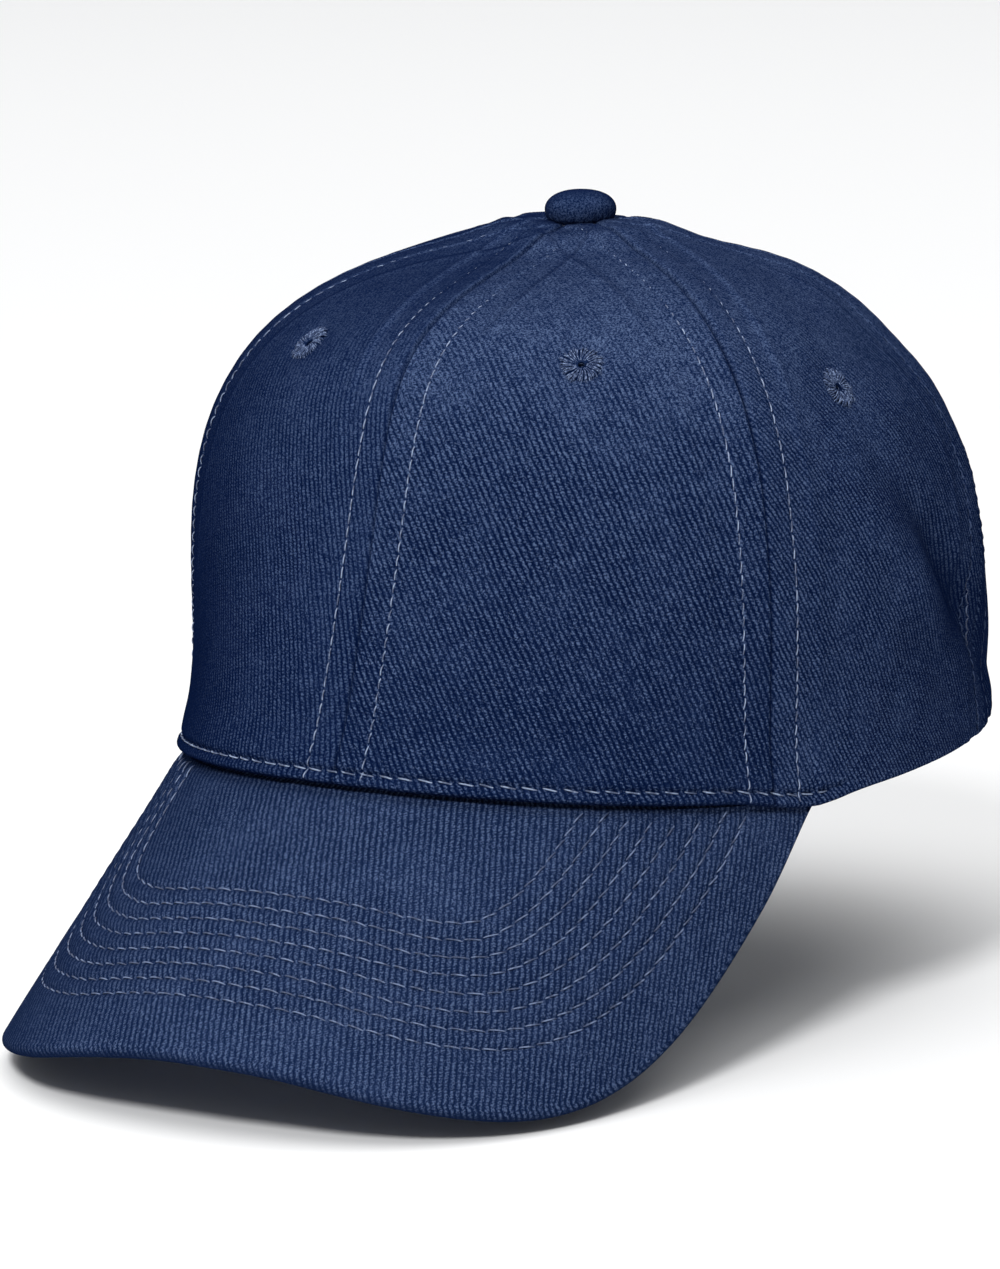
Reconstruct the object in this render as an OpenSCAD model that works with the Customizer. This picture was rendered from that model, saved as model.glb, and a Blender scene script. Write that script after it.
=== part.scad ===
// Six-panel baseball cap with a curved visor and a buckled rear strap.
// Frame: origin at the centre of the head opening in the rim plane, +Z up through the
// crown, the visor towards -Y, the wearer's left towards +X.
// A bearing is measured in degrees from the front (-Y) round towards the wearer's left.
// A depth is measured in millimetres inwards from the crown's outer face.

/* [Crown] */
// Centre of the head opening to the front of the rim
crown_front = 99; // [95:0.5:103]
// Centre of the head opening to the back of the rim
crown_back = 106; // [103:0.5:109]
// Half the width of the rim
crown_half_width = 80.5; // [79:0.5:83]
// Height of the crown's top above the rim plane
crown_height = 113.5; // [108:0.5:120]
// How far the rim lifts at the front, above the rim plane
brim_rise = 8.5; // [6:0.5:10]
// Bearing of the seam between a front and a side panel
front_seam = 64; // [60:1:66]
// Bearing of the seam between a side and a back panel
rear_seam = 115; // [112:1:118]
// How much a panel flattens between its seams near the top
panel_flattening = 0.12; // [0.06:0.01:0.14]

/* [Cloth] */
// Thickness of a twill crown panel
panel_thickness = 0.8; // [0.6:0.05:0.8]
// Thickness of the stiff backing behind the front panels
buckram_thickness = 0.4; // [0.3:0.05:0.4]
// Thickness of the seam tapes and the arch binding
tape_thickness = 0.25; // [0.2:0.05:0.25]
// Width of a seam tape
tape_width = 12; // [10:0.5:14]

/* [Visor] */
// Half the width of the visor across its corners
visor_half_width = 77; // [76:0.5:77.5]
// Distance from the visor's corners forward to its front edge
visor_reach = 133; // [128:0.5:138]
// Radius of the visor's sideways curve
visor_curve = 80.5; // [80:0.5:90]
// Fall of the visor for each millimetre it runs forward
visor_slope = 0.7; // [0.6:0.01:0.75]
// Thickness of the plastic visor board
board_thickness = 1.7; // [1.2:0.1:1.7]

/* [Sweatband] */
// Height of the sweatband
sweatband_height = 32; // [28:1:36]

/* [Rear opening] */
// Half the width of the arch, as a bearing from the back
arch_half_bearing = 31.5; // [29:0.5:33]
// Height of the arch above the rim
arch_height = 50; // [44:1:56]
// Height of the strap's lower edge above the rim plane
strap_bottom = 3; // [2:0.5:4]
// Width of the strap
strap_width = 18; // [16:0.5:18]

/* [Button] */
// Diameter of the covered button
button_diameter = 15.8; // [14:0.2:17]
// Height of the button above the crown
button_height = 7; // [6:0.1:8]

/* [Hidden] */

navy = [0.13, 0.19, 0.33];
inside_navy = [0.10, 0.15, 0.27];
white_mesh = [0.86, 0.86, 0.82];
brass = [0.72, 0.58, 0.32];
steel = [0.62, 0.63, 0.65];

// Crown profile as [front, side, back] values, mixed by bearing.
apex_y = 2.5;
wall_lean = [21, -2, -5];
wall_length = [94.5, 35.5, 52];
top_length = [98, 105.5, 60];
top_slope = [9, 1, 3];
back_roundness = 0.03;
flattening_share = [1, 1, 0.5];
apex_hole = 3.5;
seam_gap_bearing = 0.1;
rim_square = 15;
row_count = 20;
column_count = 15;

// Depths of the layers inside the crown.
buckram_depth = 0.95;
front_tape_depth = 1.6;
rear_tape_depth = 1.1;
tape_stop = 18;
tab_depth = 2.1;
tab_thickness = 0.5;
tab_height = 9;
sweatband_depth_front = 2.9;
sweatband_depth_back = 5.4;
sweatband_skin = 0.5;
sweatband_fold = 1.8;
sweatband_end = 146.5;

// Eyelets: [bearing, height up the panel].
front_eyelet = [37.2, 92];
side_eyelet = [86, 85.5];
back_eyelet = [146, 86];
eyelet_radius = 4.7;
eyelet_hole = 2;

// Visor.
rim_corner = 72.8;
visor_end = 0.95;
visor_back = -28.5;
side_power = 2.4;
front_power = 4.2;
visor_drop = 0.35;
visor_cloth = 0.7;
visor_air = 0.1;

// Strap and buckle, in rings about a vertical axis behind the crown's centre.
ring_y = 31;
strap_outer = 71.9;
strap_inner = 70.7;
strap_top = strap_bottom + strap_width;
buckle_from = 9;
buckle_to = 27;
pin_bearing = buckle_to - 3;
pin_ring = strap_outer + 2.2;
pin_radius = 0.8;
pin_clearance = 0.05;
cheek_gap = 0.6;
cheek_thickness = 1.4;

// ---- crown surface ----

function front_share(b) = pow(max(cos(b), 0), 2);
function back_share(b) = pow(max(-cos(b), 0), 2);
function by_bearing(b, v) = v[0]*front_share(b) + v[1]*pow(sin(b), 2) + v[2]*back_share(b);

// The rim seen from above.
function rim_xy(b) =
    let (reach = cos(b) > 0 ? crown_front : crown_back,
         round_out = 1 + (cos(b) < 0 ? back_roundness*pow(sin(2*b), 2) : 0))
    [crown_half_width*sin(b)*round_out, -reach*cos(b)*round_out];

// Four control points [distance from the apex axis, height] of one meridian.
function meridian(b) =
    let (p = rim_xy(b),
         r = norm([p.x, p.y - apex_y]),
         z = brim_rise*front_share(b),
         lean = by_bearing(b, wall_lean),
         wall = by_bearing(b, wall_length),
         top = by_bearing(b, top_length))
    [[r, z],
     [r - wall*sin(lean), z + wall*cos(lean)],
     [top, crown_height - top*tan(by_bearing(b, top_slope))],
     [0, crown_height]];

function bezier(m, t) =
    let (u = 1 - t)
    u*u*u*m[0] + 3*u*u*t*m[1] + 3*u*t*t*m[2] + t*t*t*m[3];

// Pairs of [length up the meridian, curve parameter].
function arc_table(m, steps = 24) =
    [for (i = 0, s = 0; i <= steps;
          s = s + norm(bezier(m, (i + 1)/steps) - bezier(m, i/steps)), i = i + 1)
        [s, i/steps]];

function arc_length(b) = let (table = arc_table(meridian(b))) table[len(table) - 1][0];

// Position across a panel, -1 at one seam and 1 at the next.
function across_panel(b) =
    let (a = abs(b) > 180 ? 360 - abs(b) : abs(b))
    a < front_seam ? 2*a/front_seam - 1
    : a < rear_seam ? 2*(a - front_seam)/(rear_seam - front_seam) - 1
    : 2*(a - rear_seam)/(180 - rear_seam) - 1;

function smooth_point(b, t) =
    let (m = meridian(b), q = bezier(m, t), p = rim_xy(b), f = q[0]/m[0][0])
    [p.x*f, apex_y + (p.y - apex_y)*f, q[1]];

// Outward direction, turned level at the rim so that the bottom edge is flat.
function outward(b, t, h) =
    let (n = cross(smooth_point(b + 1, t) - smooth_point(b - 1, t),
                   smooth_point(b, t + 0.01) - smooth_point(b, t - 0.01)),
         k = [n.x, n.y, n.z*min(1, h/rim_square)])
    k/norm(k);

function crown_at(b, m, t, h, depth) =
    let (q = bezier(m, t),
         s = across_panel(b),
         flat = panel_flattening*by_bearing(b, flattening_share),
         f = q[0]*(1 - flat*t*(1 - s*s))/m[0][0],
         p = rim_xy(b))
    [p.x*f, apex_y + (p.y - apex_y)*f, q[1]] - depth*outward(b, t, h);

// Points up one bearing at the given heights.
function crown_column(b, heights, depth) =
    let (m = meridian(b), table = arc_table(m))
    [for (h = heights) crown_at(b, m, lookup(h, table), h, depth)];

function crown_point(b, h, depth) = crown_column(b, [h], depth)[0];

function ease(x) = let (k = min(max(x, 0), 1)) k*k*(3 - 2*k);

// ---- solids from two grids of points ----

function quad(a, b, c, d) = [[a, b, c], [a, c, d]];
function quad_back(a, b, c, d) = [[a, c, b], [a, d, c]];

// A closed sheet between an outer and an inner grid, each a list of columns.
module sheet(outer, inner) {
    nc = len(outer);
    nr = len(outer[0]);
    function id(k, c, r) = (k*nc + c)*nr + r;
    skins = [for (c = [0:nc - 2], r = [0:nr - 2])
        each concat(quad(id(0, c, r), id(0, c, r + 1), id(0, c + 1, r + 1), id(0, c + 1, r)),
                    quad_back(id(1, c, r), id(1, c, r + 1), id(1, c + 1, r + 1), id(1, c + 1, r)))];
    sides = [for (r = [0:nr - 2])
        each concat(quad(id(0, 0, r + 1), id(0, 0, r), id(1, 0, r), id(1, 0, r + 1)),
                    quad(id(0, nc - 1, r), id(0, nc - 1, r + 1), id(1, nc - 1, r + 1), id(1, nc - 1, r)))];
    ends = [for (c = [0:nc - 2])
        each concat(quad(id(0, c, 0), id(0, c + 1, 0), id(1, c + 1, 0), id(1, c, 0)),
                    quad(id(0, c + 1, nr - 1), id(0, c, nr - 1), id(1, c, nr - 1), id(1, c + 1, nr - 1)))];
    polyhedron(points = concat([for (c = outer) each c], [for (c = inner) each c]),
               faces = concat(skins, sides, ends), convexity = 6);
}

// Height of the arch's edge at a bearing.
function arch_edge(b) =
    let (x = (180 - b)/arch_half_bearing)
    x < 1 ? arch_height*sqrt(1 - x*x) : 0;

// Row heights from a start to an end share of the meridian, above the arch if there is one.
function panel_rows(b, first, last) =
    let (low = arch_edge(b), high = arc_length(b) - apex_hole)
    [for (i = [first:last]) low + (high - low)*i/row_count];

module crown_sheet(bearings, first, last, near, far) {
    sheet([for (b = bearings) crown_column(b, panel_rows(b, first, last), near)],
          [for (b = bearings) crown_column(b, panel_rows(b, first, last), far)]);
}

function even(from, to, count) = [for (i = [0:count]) from + (to - from)*i/count];

front_bearings = even(seam_gap_bearing, front_seam - seam_gap_bearing, column_count);
side_bearings = even(front_seam + seam_gap_bearing, rear_seam - seam_gap_bearing, column_count - 3);
arch_foot = 180 - arch_half_bearing;
back_bearings = concat(
    even(rear_seam + seam_gap_bearing, arch_foot, 7),
    [for (i = [1:9]) 180 - max(arch_half_bearing*cos(10*i), seam_gap_bearing)]);

// Puts its children at a place on the crown, with +Z outwards.
module on_crown(place) {
    b = place[0];
    h = place[1];
    k = cross(crown_point(b + 2, h, 0) - crown_point(b - 2, h, 0),
              crown_point(b, h + 3, 0) - crown_point(b, h - 3, 0));
    n = k/norm(k);
    translate(crown_point(b, h, 0)) rotate([0, acos(n.z), atan2(n.y, n.x)]) children();
}

module eyelet_hole(place) {
    on_crown(place) translate([0, 0, -4]) cylinder(r = eyelet_hole, h = 8, $fn = 32);
}

// ---- crown panels ----

module front_panel_left() {
    color(navy) difference() {
        crown_sheet(front_bearings, 0, row_count, 0, panel_thickness);
        eyelet_hole(front_eyelet);
    }
}

module front_panel_right() {
    mirror([1, 0, 0]) front_panel_left();
}

module side_panel_left() {
    color(navy) difference() {
        crown_sheet(side_bearings, 0, row_count, 0, panel_thickness);
        eyelet_hole(side_eyelet);
    }
}

module side_panel_right() {
    mirror([1, 0, 0]) side_panel_left();
}

module back_panel_left() {
    color(navy) difference() {
        crown_sheet(back_bearings, 0, row_count, 0, panel_thickness);
        eyelet_hole(back_eyelet);
    }
}

module back_panel_right() {
    mirror([1, 0, 0]) back_panel_left();
}

// ---- backing, tapes and eyelets ----

module front_buckram_left() {
    inner_bearings = [for (i = [1:column_count - 1]) front_bearings[i]];
    color(white_mesh) difference() {
        crown_sheet(inner_bearings, 1, row_count - 2, buckram_depth, buckram_depth + buckram_thickness);
        eyelet_hole(front_eyelet);
    }
}

module front_buckram_right() {
    mirror([1, 0, 0]) front_buckram_left();
}

// A tape of constant width centred on a seam.
module seam_tape(seam, start, depth) {
    high = arc_length(seam) - tape_stop;
    rows = even(start, high, 16);
    function bearing(h, x) = seam + x/norm(crown_point(seam, h, depth) - [0, apex_y, crown_point(seam, h, depth).z])*180/PI;
    function grid(d) = [for (x = even(-tape_width/2, tape_width/2, 4))
        [for (h = rows) crown_point(bearing(h, x), h, d)]];
    color(inside_navy) sheet(grid(depth), grid(depth + tape_thickness));
}

module seam_tape_front_centre() {
    seam_tape(0, 1, front_tape_depth);
}

module seam_tape_front_left() {
    seam_tape(front_seam, 1, front_tape_depth);
}

module seam_tape_front_right() {
    mirror([1, 0, 0]) seam_tape_front_left();
}

module seam_tape_rear_left() {
    seam_tape(rear_seam, 1, rear_tape_depth);
}

module seam_tape_rear_right() {
    mirror([1, 0, 0]) seam_tape_rear_left();
}

module seam_tape_back_centre() {
    seam_tape(180, arch_height + 10, rear_tape_depth);
}

// A tape along the inside of the arch's edge.
module arch_binding() {
    binding_width = 8;
    edge_margin = 0.8;
    foot = crown_half_width*sin(arch_half_bearing);
    function grid(d) = [for (a = even(0, 180, 24))
        [for (e = even(edge_margin, edge_margin + binding_width, 2))
            crown_point(180 - arch_half_bearing*(1 + e/foot)*cos(a), (arch_height + e)*sin(a), d)]];
    color(inside_navy) sheet(grid(rear_tape_depth), grid(rear_tape_depth + tape_thickness));
}

// A ring of thread through a panel: a sleeve with a flange on each side.
module eyelet(place, through) {
    bore = 0.9;
    sleeve = eyelet_hole - 0.1;
    lift = 0.42;
    flange = 0.5;
    color(navy) on_crown(place) rotate_extrude($fn = 48) polygon([
        [bore, -through - lift - flange],
        [eyelet_radius - 0.5, -through - lift - flange],
        [eyelet_radius - 0.5, -through - lift],
        [sleeve, -through - lift],
        [sleeve, lift],
        [eyelet_radius, lift],
        [eyelet_radius - 0.3, lift + flange],
        [bore, lift + flange]]);
}

module eyelet_front_left() {
    eyelet(front_eyelet, buckram_depth + buckram_thickness);
}

module eyelet_front_right() {
    mirror([1, 0, 0]) eyelet_front_left();
}

module eyelet_side_left() {
    eyelet(side_eyelet, panel_thickness);
}

module eyelet_side_right() {
    mirror([1, 0, 0]) eyelet_side_left();
}

module eyelet_back_left() {
    eyelet(back_eyelet, panel_thickness);
}

module eyelet_back_right() {
    mirror([1, 0, 0]) eyelet_back_left();
}

// ---- button ----

button_lift = 0.4;
button_cloth = 0.7;
button_metal = 0.5;

// Half outline of the dome, shrunk inwards by a wall and cut off at a floor.
function dome(wall, floor_z) = concat(
    [[0, floor_z]],
    [for (a = [0:9:90]) [max((button_diameter/2 - wall)*pow(cos(a), 0.6), 0),
                         floor_z + (button_height - wall - floor_z)*pow(sin(a), 0.9)]]);

module button_body(outer_wall, thickness) {
    translate([0, apex_y, crown_height]) rotate_extrude($fn = 64) difference() {
        polygon(dome(outer_wall, button_lift));
        polygon(dome(outer_wall + thickness, button_lift - 0.01));
    }
}

module button_cover() {
    color(navy) button_body(0, button_cloth);
}

module button_shell() {
    color(steel) button_body(button_cloth + 0.1, button_metal);
}

module button_post() {
    plate_radius = button_diameter/2 - button_cloth - button_metal - 0.3;
    color(steel) translate([0, apex_y, crown_height]) union() {
        translate([0, 0, button_lift]) cylinder(r = plate_radius, h = 0.6, $fn = 64);
        translate([0, 0, -6]) cylinder(r = 1.6, h = button_lift + 6.2, $fn = 48);
    }
}

module button_washer() {
    color(steel) translate([0, apex_y, crown_height - 4]) difference() {
        cylinder(r = 6.5, h = 0.8, $fn = 64);
        translate([0, 0, -1]) cylinder(r = 1.65, h = 3, $fn = 48);
    }
}

// ---- visor ----

function visor_z(x, y) =
    brim_rise - visor_slope*(-y - crown_front) - (visor_curve - sqrt(visor_curve*visor_curve - x*x));

// Angle round the visor's edge for a share u from -1 to 1, spaced evenly enough.
function edge_angle(u) = let (a = pow(abs(u), 1.2), b = pow(1 - abs(u), 2.1)) sign(u)*90*a/(a + b);

function visor_edge(u) =
    let (a = edge_angle(u))
    [visor_half_width*sign(u)*pow(abs(sin(a)), 2/side_power),
     visor_back - visor_reach*pow(cos(a), 2/front_power)];

// Middle of the seam between the visor and the rim.
function visor_root(u) = crown_point(rim_corner*u, 0, -0.3);

// Upper face of the visor, v from 0 at the rim to 1 at the edge.
function visor_top(u, v) =
    let (root = visor_root(u),
         edge = visor_edge(u),
         x = root.x + (edge.x - root.x)*v,
         y = root.y + (edge.y - root.y)*v,
         seam_step = root.z - visor_z(root.x, root.y))
    [x, y, visor_z(x, y) + seam_step*pow(1 - v, 2) - visor_drop];

function visor_normal(x) =
    let (k = x/sqrt(visor_curve*visor_curve - x*x), n = [k, -visor_slope, 1])
    n/norm(n);

function visor_point(u, v, depth) = let (p = visor_top(u, v)) p - depth*visor_normal(p.x);

function visor_length(u) = norm(visor_top(u, 1) - visor_top(u, 0));

board_top = visor_cloth + visor_air;
board_bottom = board_top + board_thickness;
lining_top = board_bottom + visor_air;
lining_bottom = lining_top + visor_cloth;

visor_columns = even(-visor_end, visor_end, 32);
layer_columns = [for (i = [2:30]) visor_columns[i]];

// A layer of the visor between two depths, set in from the rim and from the edge.
module visor_layer(top, bottom, root_inset, edge_inset) {
    function row(u, i, n) =
        let (l = visor_length(u), from = root_inset/l, to = 1 - edge_inset/l)
        from + (to - from)*i/n;
    function grid(depth) = [for (u = layer_columns)
        [for (i = [0:8]) visor_point(u, row(u, 8 - i, 8), depth)]];
    sheet(grid(top), grid(bottom));
}

module visor_board() {
    color(white_mesh) visor_layer(board_top, board_bottom, 1.8, 1.3);
}

module visor_bottom_fabric() {
    color(navy) visor_layer(lining_top, lining_bottom, 1.8, 1.3);
}

// The upper cloth turns down over the edge and, at the rim, up inside the crown.
module visor_top_fabric() {
    wrap = 0.9;
    function outer_column(u) = concat(
        [visor_point(u, 1, lining_bottom)],
        [for (i = [0:9]) visor_point(u, 1 - i/9, 0)],
        [crown_point(rim_corner*u, 0, tab_depth) - [0, 0, visor_drop],
         crown_point(rim_corner*u, tab_height/2, tab_depth),
         crown_point(rim_corner*u, tab_height, tab_depth)]);
    function inner_column(u) =
        let (edge = 1 - wrap/visor_length(u), tab_back = tab_depth + tab_thickness)
        concat(
        [visor_point(u, edge, lining_bottom)],
        [for (i = [0:9]) visor_point(u, edge*(1 - i/9), visor_cloth)],
        [crown_point(rim_corner*u, 0, tab_back) - [0, 0, visor_drop + visor_cloth],
         crown_point(rim_corner*u, tab_height/2, tab_back),
         crown_point(rim_corner*u, tab_height, tab_back)]);
    color(navy) sheet([for (u = visor_columns) outer_column(u)],
                      [for (u = visor_columns) inner_column(u)]);
}

// ---- sweatband ----

function sweatband_depth(b) =
    sweatband_depth_front
    + (sweatband_depth_back - sweatband_depth_front)*ease((abs(b) - 116)/22);

sweatband_bearings = even(-sweatband_end, sweatband_end, 60);

// Points [height, depth behind the band's outer face] across the band, at each bearing.
function band_grid(path) =
    [for (b = sweatband_bearings)
        [for (p = path) crown_point(b, p[0], sweatband_depth(b) + p[1])]];

module sweatband() {
    top = sweatband_height;
    skin = sweatband_skin;
    fold = sweatband_fold;
    rows = even(0.5, top, 4);
    outside = concat([for (h = rows) [h, fold]], [[top, 0], [rows[3], 0], [rows[2], 0]]);
    inside = concat([for (h = rows) [min(h, top - skin), fold - skin]],
                    [[top - skin, skin], [rows[3], skin], [rows[2], skin]]);
    color(inside_navy) sheet(band_grid(inside), band_grid(outside));
}

module sweatband_core() {
    low = 1.2;
    high = sweatband_height - sweatband_skin - 0.3;
    near = sweatband_skin + 0.2;
    far = sweatband_fold - sweatband_skin - 0.2;
    color(white_mesh) sheet(
        band_grid([for (h = even(low, high, 4)) [h, near]]),
        band_grid([for (h = even(low, high, 4)) [h, far]]));
}

module care_label() {
    bearings = even(-138, -124, 3);
    face = sweatband_fold + 0.25;
    function grid(d) = [for (b = bearings)
        [for (h = even(4, 30, 3)) crown_point(b, h, sweatband_depth(b) + d)]];
    color(white_mesh) sheet(grid(face), grid(face + 0.3));
}

// ---- strap and buckle ----

// A curved bar round the strap's axis; positions run from the back towards the wearer's left.
module ring_bar(from, to, inner, outer, low, high) {
    translate([0, ring_y, low]) rotate([0, 0, 90 - to])
        rotate_extrude(angle = to - from, $fn = 180) translate([inner, 0]) square([outer - inner, high - low]);
}

module at_pin(low) {
    translate([pin_ring*sin(pin_bearing), ring_y + pin_ring*cos(pin_bearing), low]) children();
}

module strap() {
    color(navy) ring_bar(-56, 52, strap_inner, strap_outer, strap_bottom, strap_top);
}

// Buckle heights.
frame_low = strap_bottom - cheek_gap - cheek_thickness;
frame_high = strap_top + cheek_gap + cheek_thickness;
cheek_low = strap_bottom - cheek_gap;
cheek_high = strap_top + cheek_gap;
plate_inner = strap_inner - 1.9;
plate_outer = strap_inner - 1.1;
bar_from = buckle_to - 4;

module buckle_frame() {
    color(brass) difference() {
        union() {
            ring_bar(buckle_from, buckle_to, plate_inner, plate_outer, frame_low, frame_high);
            ring_bar(buckle_from, buckle_to, plate_inner, pin_ring, frame_low, cheek_low);
            ring_bar(buckle_from, buckle_to, plate_inner, pin_ring, cheek_high, frame_high);
            at_pin(frame_low) cylinder(r = 2.2, h = cheek_thickness, $fn = 48);
            at_pin(cheek_high) cylinder(r = 2.2, h = cheek_thickness, $fn = 48);
        }
        ring_bar(bar_from - 4, bar_from, plate_inner - 1, plate_outer + 1, cheek_low + 0.8, cheek_high - 0.8);
        at_pin(frame_low - 1) cylinder(r = pin_radius + pin_clearance, h = frame_high - frame_low + 2, $fn = 48);
    }
}

module buckle_pin() {
    color(brass) at_pin(frame_low) cylinder(r = pin_radius, h = frame_high - frame_low, $fn = 48);
}

module buckle_lever() {
    low = cheek_low + 0.3;
    high = cheek_high - 0.3;
    lever_inner = pin_ring + 0.6;
    lever_outer = pin_ring + 1.5;
    lobe_ring = pin_ring - 0.5;
    tip = buckle_from - 1;
    color(brass) difference() {
        union() {
            ring_bar(tip, pin_bearing, lever_inner, lever_outer, low, high);
            ring_bar(tip - 1, tip + 0.4, lever_inner - 0.2, lever_outer + 0.5, low + 0.3, high - 0.3);
            at_pin(low) cylinder(r = 1.8, h = high - low, $fn = 48);
            translate([lobe_ring*sin(pin_bearing), ring_y + lobe_ring*cos(pin_bearing), low + 0.6])
                cylinder(r = 1.55, h = high - low - 1.2, $fn = 48);
        }
        at_pin(low - 1) cylinder(r = pin_radius + pin_clearance, h = high - low + 2, $fn = 48);
    }
}

// A loop of cloth round the frame's end bar, its tail sewn behind the back panel.
module anchor_loop() {
    low = strap_bottom + 1;
    high = strap_top - 1;
    cloth = 0.7;
    outer_layer = strap_inner - 1;
    inner_layer = plate_inner - cloth - 0.1;
    turn = bar_from - 0.3;
    lap = buckle_to + 2;
    tail_end = 44;
    color(navy) difference() {
        ring_bar(turn - 0.8, tail_end, inner_layer, outer_layer + cloth, low, high);
        ring_bar(turn, lap - 0.8, inner_layer + cloth, outer_layer, low - 1, high + 1);
        ring_bar(lap, tail_end + 2, inner_layer - 1, outer_layer, low - 1, high + 1);
    }
}

front_panel_left();
front_panel_right();
side_panel_left();
side_panel_right();
back_panel_left();
back_panel_right();
front_buckram_left();
front_buckram_right();
seam_tape_front_centre();
seam_tape_front_left();
seam_tape_front_right();
seam_tape_rear_left();
seam_tape_rear_right();
seam_tape_back_centre();
arch_binding();
eyelet_front_left();
eyelet_front_right();
eyelet_side_left();
eyelet_side_right();
eyelet_back_left();
eyelet_back_right();
button_cover();
button_shell();
button_post();
button_washer();
visor_board();
visor_top_fabric();
visor_bottom_fabric();
sweatband();
sweatband_core();
care_label();
strap();
anchor_loop();
buckle_frame();
buckle_pin();
buckle_lever();
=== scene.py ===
"""A six-panel baseball cap in brushed navy twill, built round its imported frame.

Lengths in this file are millimetres unless a name says otherwise, and angles are degrees.
A bearing runs from the front (-Y) round towards the wearer's left (+X).
A height runs up the crown's outer face from the rim; a depth runs inwards from that face.
"""

import math

import bpy
import numpy as np
from mathutils import Matrix, Vector


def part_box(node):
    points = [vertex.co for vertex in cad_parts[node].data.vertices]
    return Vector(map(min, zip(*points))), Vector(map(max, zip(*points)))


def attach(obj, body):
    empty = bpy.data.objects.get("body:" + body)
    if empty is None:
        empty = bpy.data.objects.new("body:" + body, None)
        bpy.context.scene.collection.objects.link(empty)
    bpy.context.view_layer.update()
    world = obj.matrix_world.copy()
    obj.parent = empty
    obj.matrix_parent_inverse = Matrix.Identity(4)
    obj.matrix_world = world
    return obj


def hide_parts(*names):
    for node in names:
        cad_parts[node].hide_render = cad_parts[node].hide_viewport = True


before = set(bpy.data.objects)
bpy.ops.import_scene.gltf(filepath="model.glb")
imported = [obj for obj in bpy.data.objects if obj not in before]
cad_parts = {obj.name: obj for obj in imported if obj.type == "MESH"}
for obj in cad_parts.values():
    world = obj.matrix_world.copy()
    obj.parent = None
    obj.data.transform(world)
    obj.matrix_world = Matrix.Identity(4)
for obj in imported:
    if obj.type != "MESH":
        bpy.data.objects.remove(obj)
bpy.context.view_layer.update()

MM = 0.001
SIDES = {"left": 1, "right": -1}


def node_box(node):
    """Lowest and highest corner of a CAD node, in millimetres."""
    low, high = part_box(node)
    return np.array(low) / MM, np.array(high) / MM


# ---- crown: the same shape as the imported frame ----

CROWN_FRONT = 99.0
CROWN_BACK = 106.0
CROWN_HALF_WIDTH = 80.5
CROWN_TOP = 113.5
BRIM_RISE = 8.5
APEX_Y = 2.5
FRONT_SEAM = 64.0
REAR_SEAM = 115.0
PANEL_FLATTENING = 0.12
FLATTENING_SHARE = (1, 1, 0.5)
WALL_LEAN = (21, -2, -5)
WALL_LENGTH = (94.5, 35.5, 52)
TOP_LENGTH = (98, 105.5, 60)
TOP_SLOPE = (9, 1, 3)
BACK_ROUNDNESS = 0.03
RIM_SQUARE = 15
PANEL_THICKNESS = 0.8
ARCH_HALF_BEARING = 31.5
ARCH_HEIGHT = 50.0
SEAMS = {"front_centre": 0, "front_left": FRONT_SEAM, "front_right": -FRONT_SEAM,
         "rear_left": REAR_SEAM, "rear_right": -REAR_SEAM, "back_centre": 180}

ARC_STEPS = 200
TABLE_BEARINGS = np.linspace(-180, 180, 721)
TABLE_HEIGHTS = np.linspace(0, 172, 345)


def sind(a):
    return np.sin(np.radians(a))


def cosd(a):
    return np.cos(np.radians(a))


def ease(x):
    k = np.clip(x, 0, 1)
    return k * k * (3 - 2 * k)


def bump(x, width):
    """A smooth bell, 1 at zero."""
    return np.exp(-(x / width) ** 2)


def unit(v):
    return v / np.linalg.norm(v, axis=-1, keepdims=True)


def run_along(points):
    """Length run at each point of a line, from 0."""
    steps = np.linalg.norm(np.diff(points, axis=0), axis=1)
    return np.concatenate([[0], np.cumsum(steps)])


def front_share(b):
    return np.maximum(cosd(b), 0) ** 2


def by_bearing(b, values):
    front, side, back = values
    return front * front_share(b) + side * sind(b) ** 2 + back * front_share(180 - b)


def rim_xy(b):
    reach = np.where(cosd(b) > 0, CROWN_FRONT, CROWN_BACK)
    swell = 1 + np.where(cosd(b) < 0, BACK_ROUNDNESS * sind(2 * b) ** 2, 0)
    return CROWN_HALF_WIDTH * sind(b) * swell, -reach * cosd(b) * swell


def meridian(b, t):
    """Distance from the apex axis and height above the rim plane, t from 0 at the rim to 1."""
    x, y = rim_xy(b)
    foot = np.hypot(x, y - APEX_Y)
    low = BRIM_RISE * front_share(b)
    lean = by_bearing(b, WALL_LEAN)
    wall = by_bearing(b, WALL_LENGTH)
    top = by_bearing(b, TOP_LENGTH)
    u = 1 - t
    k0, k1, k2, k3 = u ** 3, 3 * u * u * t, 3 * u * t * t, t ** 3
    shoulder = CROWN_TOP - top * np.tan(np.radians(by_bearing(b, TOP_SLOPE)))
    out = k0 * foot + k1 * (foot - wall * sind(lean)) + k2 * top
    up = k0 * low + k1 * (low + wall * cosd(lean)) + k2 * shoulder + k3 * CROWN_TOP
    return out, up, foot


def arc_tables():
    """Curve parameter for each table bearing and height, and each bearing's whole length."""
    t = np.linspace(0, 1, ARC_STEPS)
    out, up, _ = meridian(TABLE_BEARINGS[:, None], t[None, :])
    steps = np.hypot(np.diff(out, axis=1), np.diff(up, axis=1))
    lengths = np.concatenate([np.zeros((len(steps), 1)), np.cumsum(steps, axis=1)], axis=1)
    table = np.array([np.interp(TABLE_HEIGHTS, row, t) for row in lengths])
    return table, lengths[:, -1]


PARAMETER_TABLE, LENGTH_TABLE = arc_tables()


def wrap(b):
    return (np.asarray(b, float) + 180) % 360 - 180


def crown_length(b):
    return np.interp(wrap(b), TABLE_BEARINGS, LENGTH_TABLE)


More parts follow.
